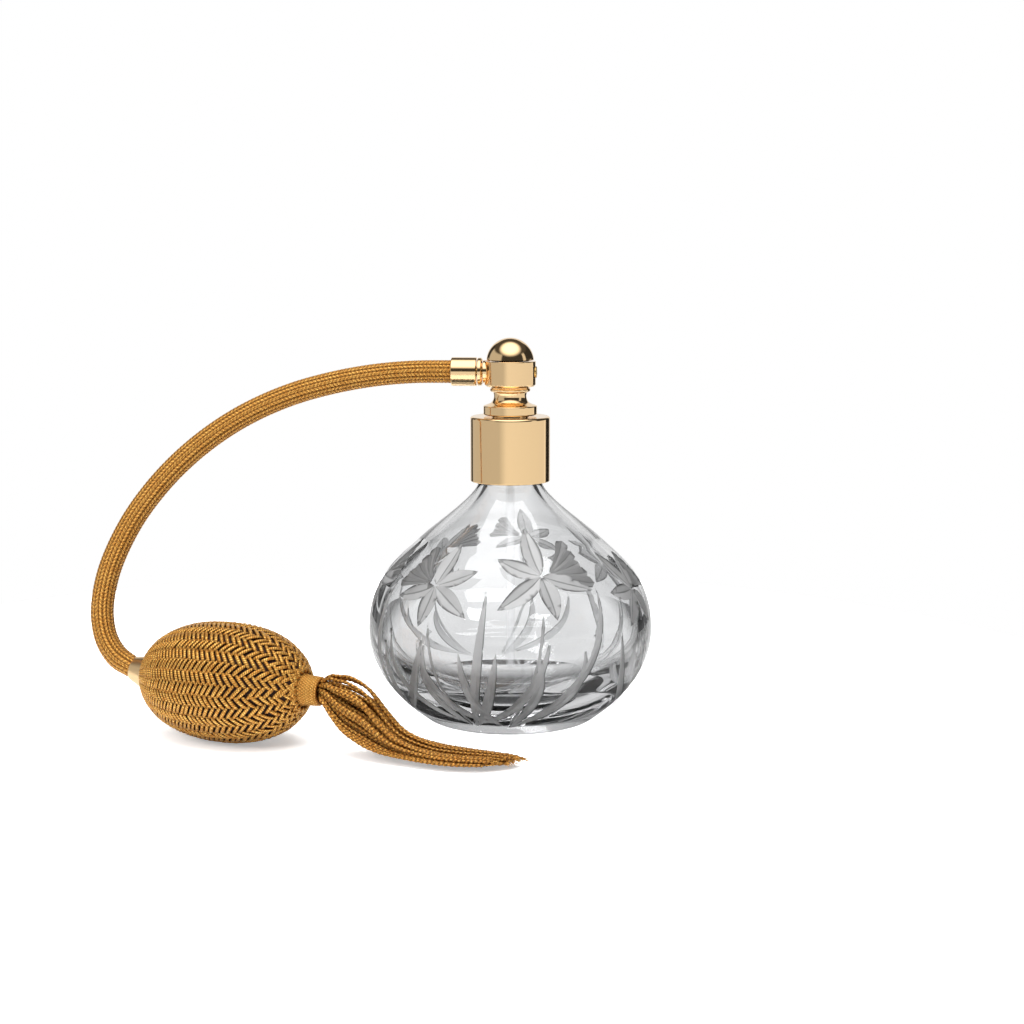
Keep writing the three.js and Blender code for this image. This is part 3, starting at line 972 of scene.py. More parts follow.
def build_hose(settings):
    """The braided hose: herringbone ribs of thread over a rubber tube, from the ferrule into the cone."""
    tip = BULB_CENTRE + BULB_AXIS * CONE_START + CONE_AXIS * (CONE_LENGTH - 0.9)
    route = [tuple(c / MM for c in p) for p in HOSE_ROUTE] + [tuple(tip)]
    path = smooth_path(route, 0.29)
    along = travelled(path)
    _, side, rise = path_frames(path, (0, 0, 1))
    ribs = settings.hose_ribs
    columns = ribs * 8
    angle = np.linspace(0, TURN, columns, endpoint=False)
    rib = np.abs(np.sin(angle * ribs / 2)) ** 0.7
    over = angle * ribs / TURN
    slant = np.abs((over + 1) % 2 - 1)
    hatch = np.abs(np.sin(math.pi * (slant[None, :] * 0.9 + along[:, None] * 0.9))) ** 0.8
    radius = HOSE_R - 0.36 + 0.3 * rib[None, :] + 0.13 * hatch
    taper = np.clip((along[-1] - along) / 5.0, 0, 1) * 0.1 + 0.9
    reach = radius * taper[:, None]
    made = piece("hose_braid", capped(rings_round(path, side, rise, angle, reach)), finish("hose"))
    corner_lay(made, ring_lay(columns, ribs, along))
    # Painted shade: darker in the grooves between the ribs and between the hatch lines.
    point_value(made, "relief_shade", ((0.25 + 0.75 * rib[None, :]) * (0.3 + 0.7 * hatch)).ravel())
    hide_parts("hose")
    bent = path[int(np.searchsorted(along, HOSE_BEND))]
    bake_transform(made, "head", "bulb", start=tuple(HOSE_MOUTH), end=tuple(bent * MM))


# ---- the gold fittings ----


def build_fittings():
    """The collar, head, dome, nozzle, hose nut, ferrule and cone."""
    inside = COLLAR_R - 0.56
    bore = STEM_R + 0.3
    shell = rounded(
        [
            (inside, COLLAR_BOTTOM_Z, 0.1),
            (COLLAR_R, COLLAR_BOTTOM_Z, 0.3),
            (COLLAR_R, COLLAR_TOP_Z, 0.7),
            (bore, COLLAR_TOP_Z, 0.1),
            (bore, COLLAR_TOP_Z - 1.6, 0.1),
            (inside, COLLAR_TOP_Z - 1.6, 0.2),
        ]
    )
    collar = piece("collar", lathe(shell, 160, closed=True), finish("gold"), sharp=50)
    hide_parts("collar_shell")
    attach(collar, "collar")

    waist = bezier((5.5, 88.75), (4.75, 89.3), (4.5, 90.2), (4.55, 91.0), 8)
    head_profile = rounded(
        [
            (1.6, 81.1, 0.1),
            (8.8, 81.1, 0.2),
            (8.8, 82.3, 0.2),
            (STEM_R, 82.3, 0.1),
            (STEM_R, 85.5, 0.1),
            (RING_R, 85.5, 0.35),
            (RING_R, 88.0, 0.35),
            (6.0, 88.55, 0.3),
            *waist,
            (4.75, 91.75, 0.25),
            (5.1, 91.9),
            *arc(5.1, 92.45, 0.55, -75, 75, 8),
            (5.3, 93.15, 0.1),
            (BARREL_R - 0.5, 93.4, 0.25),
            (BARREL_R, 93.9, 0.35),
            (BARREL_R, BARREL_TOP_Z, 0.22),
            (5.3, BARREL_TOP_Z, 0.1),
            (5.3, 99.6, 0.1),
            (2.9, 99.6, 0.1),
            (2.9, 95.5, 0.1),
            (1.6, 95.5, 0.1),
        ]
    )
    boss = rounded([(1.5, 5.5), (3.2, 5.5), (3.2, 7.5, 0.15), (1.5, 7.5, 0.1)])
    arm_place = facing((0, 0, ARM_Z), ARM)
    nozzle_place = facing((0, 0, ARM_Z), -ARM)
    head = piece(
        "spray_head_turned",
        merged([lathe(head_profile, 160, closed=True), placed(lathe(boss, 64, closed=True), arm_place)]),
        finish("gold"),
        sharp=50,
    )
    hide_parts("spray_head")
    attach(head, "head")

    dome_centre = DOME_TOP_Z - DOME_R
    seam = [(2.6, 100.75), (6.4, 100.75), (6.45, 100.76)]
    dome_profile = [(0, 98.9), (2.6, 98.9), (2.6, 100.7), *rounded(seam)]
    dome_profile += arc(0, dome_centre, DOME_R, 5.5, 90, 36)[:-1] + [(0, DOME_TOP_Z)]
    dome = piece("dome", lathe(dome_profile, 160), finish("gold"), sharp=50)
    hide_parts("dome_cap")
    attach(dome, "head")

    nozzle_profile = rounded(
        [(0.35, 5.2), (1.6, 5.2, 0.1), (1.6, 7.42, 0.2), (0.75, 7.42, 0.1), (0.35, 7.1, 0.05)]
    )
    nozzle_part = placed(lathe(nozzle_profile, 64, closed=True), nozzle_place)
    nozzle = piece("nozzle", nozzle_part, finish("brass"), sharp=50)
    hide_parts("spray_nozzle")
    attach(nozzle, "head")

    nut_profile = rounded(
        [(1.5, 7.7, 0.1), (3.35, 7.7, 0.2), (3.9, 8.05, 0.2), (3.9, 9.0, 0.2), (1.5, 9.0, 0.1)]
    )
    nut = piece("nut", placed(lathe(nut_profile, 96, closed=True), arm_place), finish("gold"), sharp=50)
    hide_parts("hose_nut")
    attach(nut, "head")

    mouth = HOSE_R + 0.3
    ferrule_profile = rounded(
        [
            (1.5, 9.3, 0.1),
            (4.0, 9.3, 0.25),
            (4.0, FERRULE_END, 0.3),
            (mouth, FERRULE_END, 0.15),
            (mouth, 10.6, 0.1),
            (1.5, 10.6, 0.1),
        ]
    )
    ferrule_part = placed(lathe(ferrule_profile, 96, closed=True), arm_place)
    ferrule = piece("ferrule", ferrule_part, finish("gold"), sharp=50)
    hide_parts("hose_ferrule")
    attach(ferrule, "head")

    cone_profile = rounded(
        [
            (2.4, 0.0, 0.1),
            (5.2, 0.0, 0.2),
            (3.25, CONE_LENGTH, 0.3),
            (2.9, CONE_LENGTH, 0.1),
            (2.7, 1.0, 0.1),
        ]
    )
    cone_place = facing(BULB_CENTRE + BULB_AXIS * CONE_START, CONE_AXIS)
    cone = piece("cone", placed(lathe(cone_profile, 96, closed=True), cone_place), finish("satin"), sharp=50)
    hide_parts("cone_ferrule")
    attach(cone, "bulb")


def finish_inner_pieces():
    """The pieces inside keep their own shape, with a finish of their own."""
    looks = {
        "neck_thread_ring": "brass",
        "seat_plug": "brass",
        "air_nipple": "brass",
        "bulb_air_tube": "brass",
        "inlet_valve_body": "brass",
        "rim_washer": "seal",
        "collar_liner": "seal",
        "dome_washer": "seal",
        "swirl_plug": "seal",
        "swivel_washer": "seal",
        "inlet_valve_disc": "rubber",
    }
    for name, look in looks.items():
        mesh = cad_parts[name].data
        mesh.materials.clear()
        mesh.materials.append(finish(look))
    tube_profile = rounded([(0.75, 11.5, 0.1), (1.25, 11.5, 0.1), (1.25, 79.4, 0.1), (0.75, 79.4, 0.1)], 3)
    tube = piece("clear_dip_tube", lathe(tube_profile, 48, closed=True), finish("tube"), sharp=50)
    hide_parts("dip_tube")
    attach(tube, "plug")


# ---- the crystal bottle ----

GLASS_SIDES = 192
CUT_LOW = 3.0  # the cut band's lower edge, as a length up the outside from the foot's rim
GRID = 1.3  # the spacing of the band's mesh between the cuts


def outside_profile():
    """The outside from the foot's rim to the lip's shoulder, closely spaced, as radius and height."""
    lower = bezier((FOOT_R, 0), (FOOT_R + 0.9, 1.2), (BODY_R, 9.8), (BODY_R, BODY_Z), 160)
    upper = bezier((BODY_R, BODY_Z), (BODY_R, 39.2), (31.85, 44.6), SHOULDER, 160)
    neck = bezier(SHOULDER, (21.4, 54.5), (NECK_R, 63), (NECK_R, COLLAR_BOTTOM_Z), 120)
    return np.array(lower + upper[1:] + neck[1:])


class Outside:
    """The bottle's outside as a sheet: bearing in radians, 0 towards the viewer's side, and length up it."""

    def __init__(self):
        self.profile = outside_profile()
        self.length = np.concatenate([[0], np.cumsum(np.hypot(*np.diff(self.profile, axis=0).T))])

    def radius(self, length):
        return np.interp(length, self.length, self.profile[:, 0])

    def height(self, length):
        return np.interp(length, self.length, self.profile[:, 1])

    def at_height(self, height):
        return np.interp(height, self.profile[:, 1], self.length)

    def points(self, bearing, length, depth):
        """Points of the glass that lie that far under the outside."""
        small = 0.05
        r, z = self.radius(length), self.height(length)
        dr = self.radius(length + small) - self.radius(length - small)
        dz = self.height(length + small) - self.height(length - small)
        size = np.hypot(dr, dz)
        r = r - depth * dz / size
        z = z + depth * dr / size
        return np.stack([r * np.sin(bearing), -r * np.cos(bearing), z], axis=-1)


# The painted shade of each kind of cut: its grey, and how dark the line along its middle is.
CUT_KINDS = {
    "leaf": (0.60, 0.0),
    "petal": (0.56, 0.9),
    "stem": (0.50, 0.0),
    "flute": (0.24, 0.75),
}


def blade(outside, start, end, width, bow=0.0, steps=16, shape="leaf", sweep=0.0):
    """A cut from start to end, each (bearing in degrees, height): its middle line, half widths and kind.

    bow bends it sideways, in millimetres, and sweep does so towards its end. A leaf is pointed at both ends,
    a petal is widest before its middle, a stem keeps its width, and a flute widens to a short point.
    """
    a = np.array((math.radians(start[0]), outside.at_height(start[1])))
    b = np.array((math.radians(end[0]), outside.at_height(end[1])))
    scale = outside.radius((a[1] + b[1]) / 2)
    way = (b - a) * (scale, 1)
    across = np.array((-way[1], way[0])) / np.linalg.norm(way)
    q = np.linspace(0, 1, steps + 1)
    bend = (4 * q * (1 - q) * bow + np.sin(math.pi * q) * q * sweep)[:, None] * across / (scale, 1)
    middle = a + (b - a) * q[:, None] + bend
    if shape == "leaf":
        half = np.sin(math.pi * q**0.85) ** 0.75
    elif shape == "petal":
        rise = np.sin(math.pi / 2 * np.minimum(q / 0.42, 1)) ** 0.7
        fall = np.cos(math.pi / 2 * np.clip((q - 0.42) / 0.58, 0, 1)) ** 0.9
        half = rise * fall
    elif shape == "flute":
        half = np.where(q < 0.9, 0.2 + 0.8 * (q / 0.9) ** 1.5, (1 - q) / 0.1)
    else:
        half = np.clip(np.minimum(q, 1 - q) * steps / 1.5, 0, 1)
    half = np.clip(half, 0, None)
    half[0] = 0
    half[-1] = 0
    return middle, half * width / 2, CUT_KINDS[shape]


def flower(outside, bearing, height, size, turn, trumpet):
    """Six petals round a centre and a fluted trumpet that opens towards the angle trumpet, in degrees."""
    blades = []
    scale = math.degrees(1 / outside.radius(outside.at_height(height)))
    lift = 0.86  # the outside leans back at this height, so a length up it gains less height

    def tip(angle, reach):
        angle = math.radians(angle)
        return bearing + reach * math.cos(angle) * scale, height + reach * math.sin(angle) * lift

    for k in range(6):
        angle = turn + 60 * k
        apart = abs((angle - trumpet + 180) % 360 - 180)
        if apart < 31:
            continue  # the trumpet stands in front of it
        reach = size * (1.0 + 0.08 * math.sin(2.3 * k + turn))
        blades.append(blade(outside, tip(angle, 0.3), tip(angle, reach), size * 0.4, 0.3, 14, "petal"))
    for k in range(5):
        spread = (k - 2) * 12
        blades.append(
            blade(
                outside,
                tip(trumpet + spread * 0.35, size * 0.2),
                tip(trumpet + spread, size * (1.0 + 0.05 * abs(k - 2))),
                size * 0.3,
                0.0,
                12,
                "flute",
            )
        )
    return blades


def cut_design(outside, count):
    """All the cuts: flowers in a ring, and clumps of leaves and stems from the base up to them."""
    blades = []
    step = 360 / count
    heights = (42.2, 45.2, 38.8, 43.2, 44.6, 41.2, 40.4)
    sizes = (12.6, 13.6, 12.4, 13.2, 12.8, 13.4, 12.8)
    trumpets = (158, 12, 25, 160, 20, 150, 35)
    for k in range(count):
        bearing = -36 + k * step
        i = k % len(heights)
        lean = 1 if k % 2 == 0 else -1
        root = bearing + lean * 17
        gap = bearing + 0.5 * step
        under = (bearing + lean * 2, heights[i] - 9)
        blades.append(blade(outside, (root, 3.2), under, 0.9, lean * 1.8, 22, "stem"))
        tall_bow = -1.0 if lean > 0 else -7.0
        blades.append(blade(outside, (root + 0.4, 2.9), (gap, 42.0), 2.8, tall_bow, 26, "leaf"))
        for offset, tip_z, width, bow in (
            (-36, 29.0, 2.9, 6.0),
            (-17, 27.5, 3.0, 3.5),
            (13, 26.0, 3.0, -2.5),
            (33, 29.0, 2.9, -5.5),
        ):
            tilt = 0.8 * math.sin(offset + 3.1 * k)
            blades.append(
                blade(
                    outside,
                    (root + offset * 0.13, 2.8 + 0.05 * abs(offset)),
                    (root + offset + 2 * tilt, tip_z + 1.5 * tilt),
                    width,
                    bow,
                    20,
                    "leaf",
                    sweep=1.5 * lean,
                )
            )
        blades += flower(outside, bearing, heights[i], sizes[i], 22 + 17 * k, trumpets[i])
    return blades


def build_bottle(settings):
    """The blown bottle, its flowers and leaves cut into the outside, as one closed surface."""
    outside = Outside()
    top = outside.at_height(CUT_TOP_Z)
    rows = max(2, round((top - CUT_LOW) / GRID))
    lengths = np.linspace(CUT_LOW, top, rows + 1)
    seam = -math.pi + math.radians(360 / settings.flowers * 0.5 - 10)
    bearings = seam + np.linspace(0, TURN, GLASS_SIDES + 1)
    flat = 36.0  # the sheet's bearings are laid out on this radius

    points, edges = [], []

    def add_line(line):
        """Adds a line of sheet points as edges that the mesh has to follow."""
        first = len(points)
        points.extend(line)
        edges.extend((first + i, first + i + 1) for i in range(len(line) - 1))

    kept = []
    for middle, half, kind in cut_design(outside, settings.flowers):
        scale = outside.radius(middle[:, 1])[:, None] * (1, 0) + (0, 1)
        way = np.gradient(middle, axis=0) * scale
        across = np.stack([-way[:, 1], way[:, 0]], axis=1) / np.linalg.norm(way, axis=1)[:, None] / scale
        left = middle + across * half[:, None]
        right = middle - across * half[:, None]
        turns = np.round((middle[:, 0].mean() - seam - math.pi) / TURN)
        for line in (left, right, middle):
            line[:, 0] -= turns * TURN
        both = np.vstack([left, right])
        margin = 0.6
        if both[:, 1].min() < CUT_LOW + margin or both[:, 1].max() > top - margin:
            continue
        if both[:, 0].min() < seam + margin / flat or both[:, 0].max() > seam + TURN - margin / flat:
            continue
        kept.append((middle, half, kind))
        for line in (left, middle, right):
            add_line([(b * flat, t) for b, t in line])
    lines = len(points)
    edge_count = len(edges)

    near = kdtree.KDTree(lines)
    for i, (x, y) in enumerate(points):
        near.insert((x, y, 0), i)
    near.balance()
    border = {}
    for j, length in enumerate(lengths):
        for i, bearing in enumerate(bearings):
            on_border = i in (0, GLASS_SIDES) or j in (0, rows)
            x, y = bearing * flat, length
            if on_border or near.find((x, y, 0))[2] > 0.45:
                if on_border:
                    border[i, j] = len(points)
                points.append((x, y))
    rim = (
        [(i, 0) for i in range(GLASS_SIDES)]
        + [(GLASS_SIDES, j) for j in range(rows)]
        + [(i, rows) for i in range(GLASS_SIDES, 0, -1)]
        + [(0, j) for j in range(rows, 0, -1)]
    )
    edges.extend((border[a], border[b]) for a, b in zip(rim, rim[1:] + rim[:1]))
    made = geometry.delaunay_2d_cdt([Vector(p) for p in points], edges, [], 0, 1e-5)
    sheet = np.array([tuple(v) for v in made[0]])
    triangles = [list(face) for face in made[2]]
    creases = [edge for edge, origin in zip(made[1], made[4]) if any(o < edge_count for o in origin)]

    bearing, length = sheet[:, 0] / flat, sheet[:, 1]
    depth = np.zeros(len(sheet))
    look = np.zeros((len(sheet), 3))
    radius = outside.radius(length)
    for middle, half, kind in kept:
        fine = np.linspace(0, len(middle) - 1, 6 * len(middle))
        mb = np.interp(fine, np.arange(len(middle)), middle[:, 0])
        ml = np.interp(fine, np.arange(len(middle)), middle[:, 1])
        mh = np.interp(fine, np.arange(len(middle)), half)
        reach = half.max() + 0.5
        inside = np.nonzero(
            (np.abs(length - (ml.min() + ml.max()) / 2) < np.ptp(ml) / 2 + reach)
            & (np.abs(bearing - (mb.min() + mb.max()) / 2) * radius < np.ptp(mb) / 2 * radius + reach)
        )[0]
        away = np.hypot(
            (bearing[inside, None] - mb) * radius[inside, None],
            length[inside, None] - ml,
        )
        nearest = away.argmin(axis=1)
        distance = away[np.arange(len(inside)), nearest]
        room = mh[nearest] - distance
        ahead_b = np.gradient(mb)[nearest] * radius[inside]
        ahead_l = np.gradient(ml)[nearest]
        off_b = (bearing[inside] - mb[nearest]) * radius[inside]
        side = ahead_b * (length[inside] - ml[nearest]) - ahead_l * off_b
        cut = settings.cut_slope * np.clip(room, 0, None)
        cut = np.minimum(cut, THICKEST_CUT)
        deeper = (cut > depth[inside]) | ((room > -0.02) & (depth[inside] < SHALLOWEST_CUT))
        # Each point keeps its place across the nearest cut and that cut's painted grey and middle shade.
        signed = np.sign(side) * distance / np.maximum(mh[nearest], 0.1)
        look[inside[deeper], 0] = signed[deeper].clip(-1, 1)
        look[inside[deeper], 1:] = kind
        depth[inside] = np.maximum(depth[inside], cut)
    depth[depth < SHALLOWEST_CUT] = 0
    wall = outside.points(bearing, length, depth)

    # The sheet's right edge is its left edge again, so those points are joined.
    index = {}
    for new, old in enumerate(made[3]):
        for o in old:
            index[o] = new
    join = np.arange(len(sheet))
    for j in range(rows + 1):
        join[index[border[GLASS_SIDES, j]]] = index[border[0, j]]
    triangles = [[int(join[v]) for v in face] for face in triangles]
    creases = {tuple(sorted((int(join[a]), int(join[b])))) for a, b in creases}

    # Rings for the rest: from the foot's middle up to the band, and from the band over the lip to the floor.
    below = [(r, -0.0) for r in np.linspace(20, FOOT_R - 0.6, 5)]
    below += [(FOOT_R - 0.2, 0.03)]
    low = np.linspace(0.6, CUT_LOW, 4)[:-1]
    below += [(float(outside.radius(t)), float(outside.height(t))) for t in low]
    foot = [(r, 0.55 * (1 - (r / 19.0) ** 2)) for r in np.linspace(0, 18.5, 9)]
    lower_rows = foot + below
    high = np.linspace(top, outside.length[-1], 26)[1:]
    above = [(float(outside.radius(t)), float(outside.height(t))) for t in high]
    above += rounded(
        [
            (NECK_R, COLLAR_BOTTOM_Z + 0.3),
            (FINISH_R, COLLAR_BOTTOM_Z + 1.4, 0.5),
            (FINISH_R, RIM_Z, 0.4),
            (NECK_BORE_R, RIM_Z, 0.4),
            (NECK_BORE_R, 66.5),
        ]
    )
    above += bezier((NECK_BORE_R, 66), (6.7, 61.4), (19.0, 53.4), (23, 48.5), 22)
    above += bezier((23, 48.5), (29.5, 42.5), (INNER_R, 38), (INNER_R, 26), 24)[1:]
    above += bezier((INNER_R, 26), (INNER_R, 12), (20, FLOOR_Z), (0, FLOOR_Z), 44)[1:]
    spin = bearings[:-1]
    points = [tuple(p) for p in wall]
    slots = [0] * len(triangles)
    faces = list(triangles)
    for n, face in enumerate(triangles):
        middle_depth = np.mean([depth[v] for v in face])
        slots[n] = 1 if middle_depth > FROSTED_FROM else 0

    def add_rings(profile, edge_ring, upward):
        """Joins turned rings to the sheet's edge ring, ending in a pole on the axis."""
        last = edge_ring
        order = profile if upward else profile[::-1]
        for r, z in order:
            if r < 1e-6:
                pole = len(points)
                points.append((0.0, 0.0, z))
                for i in range(GLASS_SIDES):
                    j = (i + 1) % GLASS_SIDES
                    faces.append([pole, last[i], last[j]] if upward else [pole, last[j], last[i]])
                return
            ring = []
            for b in spin:
                ring.append(len(points))
                points.append((r * math.sin(b), -r * math.cos(b), z))
            for i in range(GLASS_SIDES):
                j = (i + 1) % GLASS_SIDES
                quad = [last[i], last[j], ring[j], ring[i]]
                faces.append(quad if upward else quad[::-1])
            last = ring

    add_rings(lower_rows, [index[border[i, 0]] for i in range(GLASS_SIDES)], False)
    add_rings(above, [index[border[i, rows]] for i in range(GLASS_SIDES)], True)
    bottle = piece("crystal_bottle", (np.array(points), faces), finish("crystal"))
    bottle.data.materials.append(finish("cut"))
    slots += [0] * (len(faces) - len(slots))
    bottle.data.polygons.foreach_set("material_index", slots)
    attributes = bottle.data.attributes
    keep_sharp = attributes.get("sharp_edge") or attributes.new("sharp_edge", "BOOLEAN", "EDGE")
    for edge in bottle.data.edges:
        if tuple(sorted(edge.vertices)) in creases:
            keep_sharp.data[edge.index].value = True
    point_vector(bottle, "cut", look)
    tidy_loose(bottle)
    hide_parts("glass_bottle")
    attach(bottle, "bottle")


def tidy_loose(made):
    """Drops points that no face uses."""
    work = bmesh.new()
    work.from_mesh(made.data)
    bmesh.ops.delete(work, geom=[v for v in work.verts if not v.link_faces], context="VERTS")
    work.to_mesh(made.data)
    work.free()


# ---- the bulb ----


def egg_radius(station, front=25.4, tail=24.6, girth=BULB_GIRTH):
    """The bulb's radius at a station along its axis. Its front and tail ends are that far from its middle."""
    share = np.abs(station) / np.where(station < 0, front, tail)
    return girth * np.sqrt(np.clip(1 - share**BULB_FULLNESS, 0, None))


def build_bulb(settings):
    """The knitted cover, stitch by stitch over a dark sheet of painted shade, and the rubber bulb inside it.
    """
    rng = np.random.default_rng(7)
    front, tail = COVER_FRONT - COVER_LAP[0], COVER_TAIL + COVER_LAP[1]
    station = (front + tail) / 2 - (tail - front) / 2 * np.cos(np.linspace(0, math.pi, 500))
    radius = egg_radius(station)
    length = np.concatenate([[0], np.cumsum(np.hypot(np.diff(station), np.diff(radius)))])
    total = length[-1]
    slope = np.gradient(radius, length)
    run = np.gradient(station, length)
    axis = np.array(BULB_AXIS)
    out_a = np.array((0.0, 0.0, 1.0))
    out_b = np.cross(axis, out_a)

    share_stops = (0.0, 0.25, 0.5, 0.72, 1.0)
    bands = settings.knit_bands

    def pitch_of(share):
        """How far apart the stitches of a band are, at that share of the way along."""
        return np.interp(share, share_stops, (0.95, 1.1, 1.45, 2.15, 2.2))

    def slant_of(share):
        """How far the stitches there slant from the bulb's length."""
        return np.radians(np.interp(share, share_stops, (72, 71, 64, 46, 40)))

    rows = [0.6]
    while rows[-1] < total - 0.8:
        rows.append(rows[-1] + float(pitch_of(rows[-1] / total)))
    rows = np.array(rows)
    band, row = np.meshgrid(np.arange(bands), np.arange(len(rows)), indexing="ij")
    band, row = band.ravel(), row.ravel()
    share = rows[row] / total
    pitch = pitch_of(share)
    slant = slant_of(share) + rng.normal(0, 0.05, len(row)) * (0.5 + 2.5 * np.clip(share - 0.6, 0, 1))
    loose = np.clip((share - 0.62) / 0.38, 0, 1)
    centre = rows[row] + np.where(band % 2 == 0, 0, pitch / 2)
    centre = centre + rng.normal(0, 0.05, len(row)) * (1 + 3 * loose)
    centre = np.clip(centre, 0.4, total - 0.6)
    bearing = (band + 0.5) * TURN / bands + rng.normal(0, 0.006, len(row)) * (1 + 4 * loose)
    sign = np.where(band % 2 == 0, 1, -1)
    around = np.interp(centre, length, radius) * math.pi / bands
    half_length = (around + 0.5) / np.sin(slant)
    half_length = np.clip(half_length, 0.75, 3.2)
    half_width = np.clip(0.4 * pitch * np.sin(slant), 0.34, 0.56) * rng.uniform(0.92, 1.06, len(row))
    half_height = half_width * 0.85

    q = np.sin(np.linspace(-1, 1, 8) * math.radians(80)) / math.sin(math.radians(84))
    sides = 8
    ring_angle = np.linspace(0, TURN, sides, endpoint=False)

    def on_cover(at, turn, lift):
        """Points that far along the cover and round it, lifted from it, with the normals there."""
        s = np.interp(at, length, station)
        r = np.interp(at, length, radius)
        radial = np.cos(turn)[..., None] * out_a + np.sin(turn)[..., None] * out_b
        rise, lean = np.interp(at, length, run), np.interp(at, length, slope)
        normal = radial * rise[..., None] - axis * lean[..., None]
        normal /= np.linalg.norm(normal, axis=-1)[..., None]
        return s[..., None] * axis + r[..., None] * radial + normal * lift[..., None], normal

    def stitch_line(share_along):
        """Every stitch's middle line, sunk into the cover at its ends."""
        at = centre[:, None] + share_along * (half_length * np.cos(slant))[:, None]
        turn = bearing[:, None] + share_along * (sign * half_length * np.sin(slant))[:, None] / np.maximum(
            np.interp(centre, length, radius), 2.0
        )[:, None]
        lift = -0.36 + 0.24 * (1 - np.abs(share_along) ** 3.0 * 1.5) * np.ones_like(at)
        return on_cover(np.clip(at, 0.05, total - 0.05), turn, lift)

    line, normal = stitch_line(q[None, :])
    ends, _ = stitch_line(np.array([[-1.0, 1.0]]))
    ahead = np.gradient(line, axis=1)
    ahead /= np.linalg.norm(ahead, axis=-1)[..., None]
    across = np.cross(normal, ahead)
    across /= np.linalg.norm(across, axis=-1)[..., None]
    plump = np.sqrt(1 - np.abs(q) ** 4.5)[None, :, None]
    w = half_width[:, None, None] * plump * np.cos(ring_angle)
    h = half_height[:, None, None] * plump * np.sin(ring_angle)
    rings = line[:, :, None, :] + w[..., None] * across[:, :, None, :] + h[..., None] * normal[:, :, None, :]
    stitches, steps = rings.shape[:2]
    per = steps * sides + 2
    points = np.concatenate([rings.reshape(stitches, -1, 3), ends[:, :1], ends[:, 1:]], axis=1).reshape(-1, 3)
    quads = ring_faces(steps, sides)
    offset = np.arange(stitches)[:, None, None] * per
    quad_faces = (quads[None] + offset).reshape(-1, 4)
    near = np.array([[steps * sides, (i + 1) % sides, i] for i in range(sides)])
    top = (steps - 1) * sides
    far = np.array([[steps * sides + 1, top + i, top + (i + 1) % sides] for i in range(sides)])
    cap_faces = (np.vstack([near, far])[None] + offset).reshape(-1, 3)
    along = q[None, :] * half_length[:, None]
    lay = np.stack([ring_lay(sides, 1.0, a) for a in along])
    lay[..., 2] = rng.uniform(0, 50, stitches)[:, None]
    # Painted shade: each stitch lighter on top, darker down its sides and towards its sunk ends, and dark at
    # its end caps.
    lit = np.clip((h / half_height[:, None, None] + 0.35) / 1.1, 0, 1) ** 1.3
    lit = lit * (1 - 0.35 * np.abs(q)[None, :, None] ** 4)
    relief_shade = np.concatenate([lit.reshape(stitches, -1), np.full((stitches, 2), 0.15)], axis=1).ravel()

    # A dark sheet under the stitches: painted shade in the gaps between them.
    s = np.linspace(front + 0.5, tail - 0.5, 60)
    outer = list(zip(egg_radius(s) - 0.62, s))
    inner = list(zip(egg_radius(s) - 1.1, s))[::-1]
    shade_sheet = placed(lathe(outer + inner, 96, closed=True), facing((0, 0, 0), BULB_AXIS))
    count = len(points)
    points = np.vstack([points, shade_sheet[0]]) + np.array(BULB_CENTRE)
    faces = quad_faces.tolist() + cap_faces.tolist() + [[v + count for v in face] for face in shade_sheet[1]]
    cover = piece("knitted_cover_stitches", (points, faces), finish("knit"))
    cover.data.materials.append(finish("shade_sheet"))
    slots = np.zeros(len(faces), int)
    slots[-len(shade_sheet[1]) :] = 1
    cover.data.polygons.foreach_set("material_index", slots.tolist())
    corner_lay(cover, lay.reshape(-1, 3))
    point_value(cover, "relief_shade", relief_shade)
    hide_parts("knitted_cover")
    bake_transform(cover, "bulb", "bulb_top", start=(0, 0, PRESSED_FROM), end=(0, 0, PRESSED_FULLY))

    s = np.linspace(-21.2, 21.2, 40)
    skin = list(zip(egg_radius(s, 23.1, 22.4, BULB_GIRTH - 1.9), s))
    skin += list(zip(egg_radius(s, 20.6, 19.8, BULB_GIRTH - 3.9).clip(2.0), s.clip(-19.6, 18.9)))[::-1]
    skin_part = placed(lathe(skin, 64, closed=True), facing(BULB_CENTRE, BULB_AXIS))
    rubber = piece("rubber_bulb", skin_part, finish("rubber"))
    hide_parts("rubber_bulb_lower", "rubber_bulb_upper")
    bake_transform(rubber, "bulb", "bulb_top", start=(0, 0, PRESSED_FROM), end=(0, 0, PRESSED_FULLY))


# ---- the tassel ----


def build_sleeve():
    """The woven sleeve that grips the tassel's cords."""
    outline = rounded(
        [
            (3.1, SLEEVE_START - 0.9, 0.1),
            (4.75, SLEEVE_START - 0.9, 0.3),
            (3.95, SLEEVE_START + 1.3, 2.0),
            (SLEEVE_R, SLEEVE_END, 0.5),
            (3.1, SLEEVE_END, 0.1),
        ]
    )
    path = smooth_path([(r, z, 0.0) for r, z in outline], 0.16)[:, :2]
    along = travelled(np.column_stack([path, np.zeros(len(path))]))
    sides = 160
    angle = np.linspace(0, TURN, sides, endpoint=False)
    one_way, other_way = angle[None, :] * 16, along[:, None] * 2.6
    weave = np.abs(np.sin(one_way + other_way)) * np.abs(np.sin(one_way - other_way))
    outer = np.clip((path[:, :1] - 3.3) / 0.3, 0, 1)
    radius = path[:, :1] + 0.26 * weave * outer - 0.1
    rings = np.stack(
        [radius * np.cos(angle), radius * np.sin(angle), np.broadcast_to(path[:, 1:], radius.shape)], axis=-1
    )
    faces = ring_faces(len(path), sides, closed=True).tolist()
    place = facing(BULB_CENTRE, BULB_AXIS)
    sleeve = piece("woven_sleeve", placed((rings.reshape(-1, 3), faces), place), finish("sleeve"))
    corner_lay(sleeve, ring_lay(sides, 40.0, along))
    # Painted shade: darker in the hollows of the weave.
    point_value(sleeve, "relief_shade", (0.45 + 0.55 * weave).ravel())
    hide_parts("tassel_sleeve")
    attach(sleeve, "bulb")


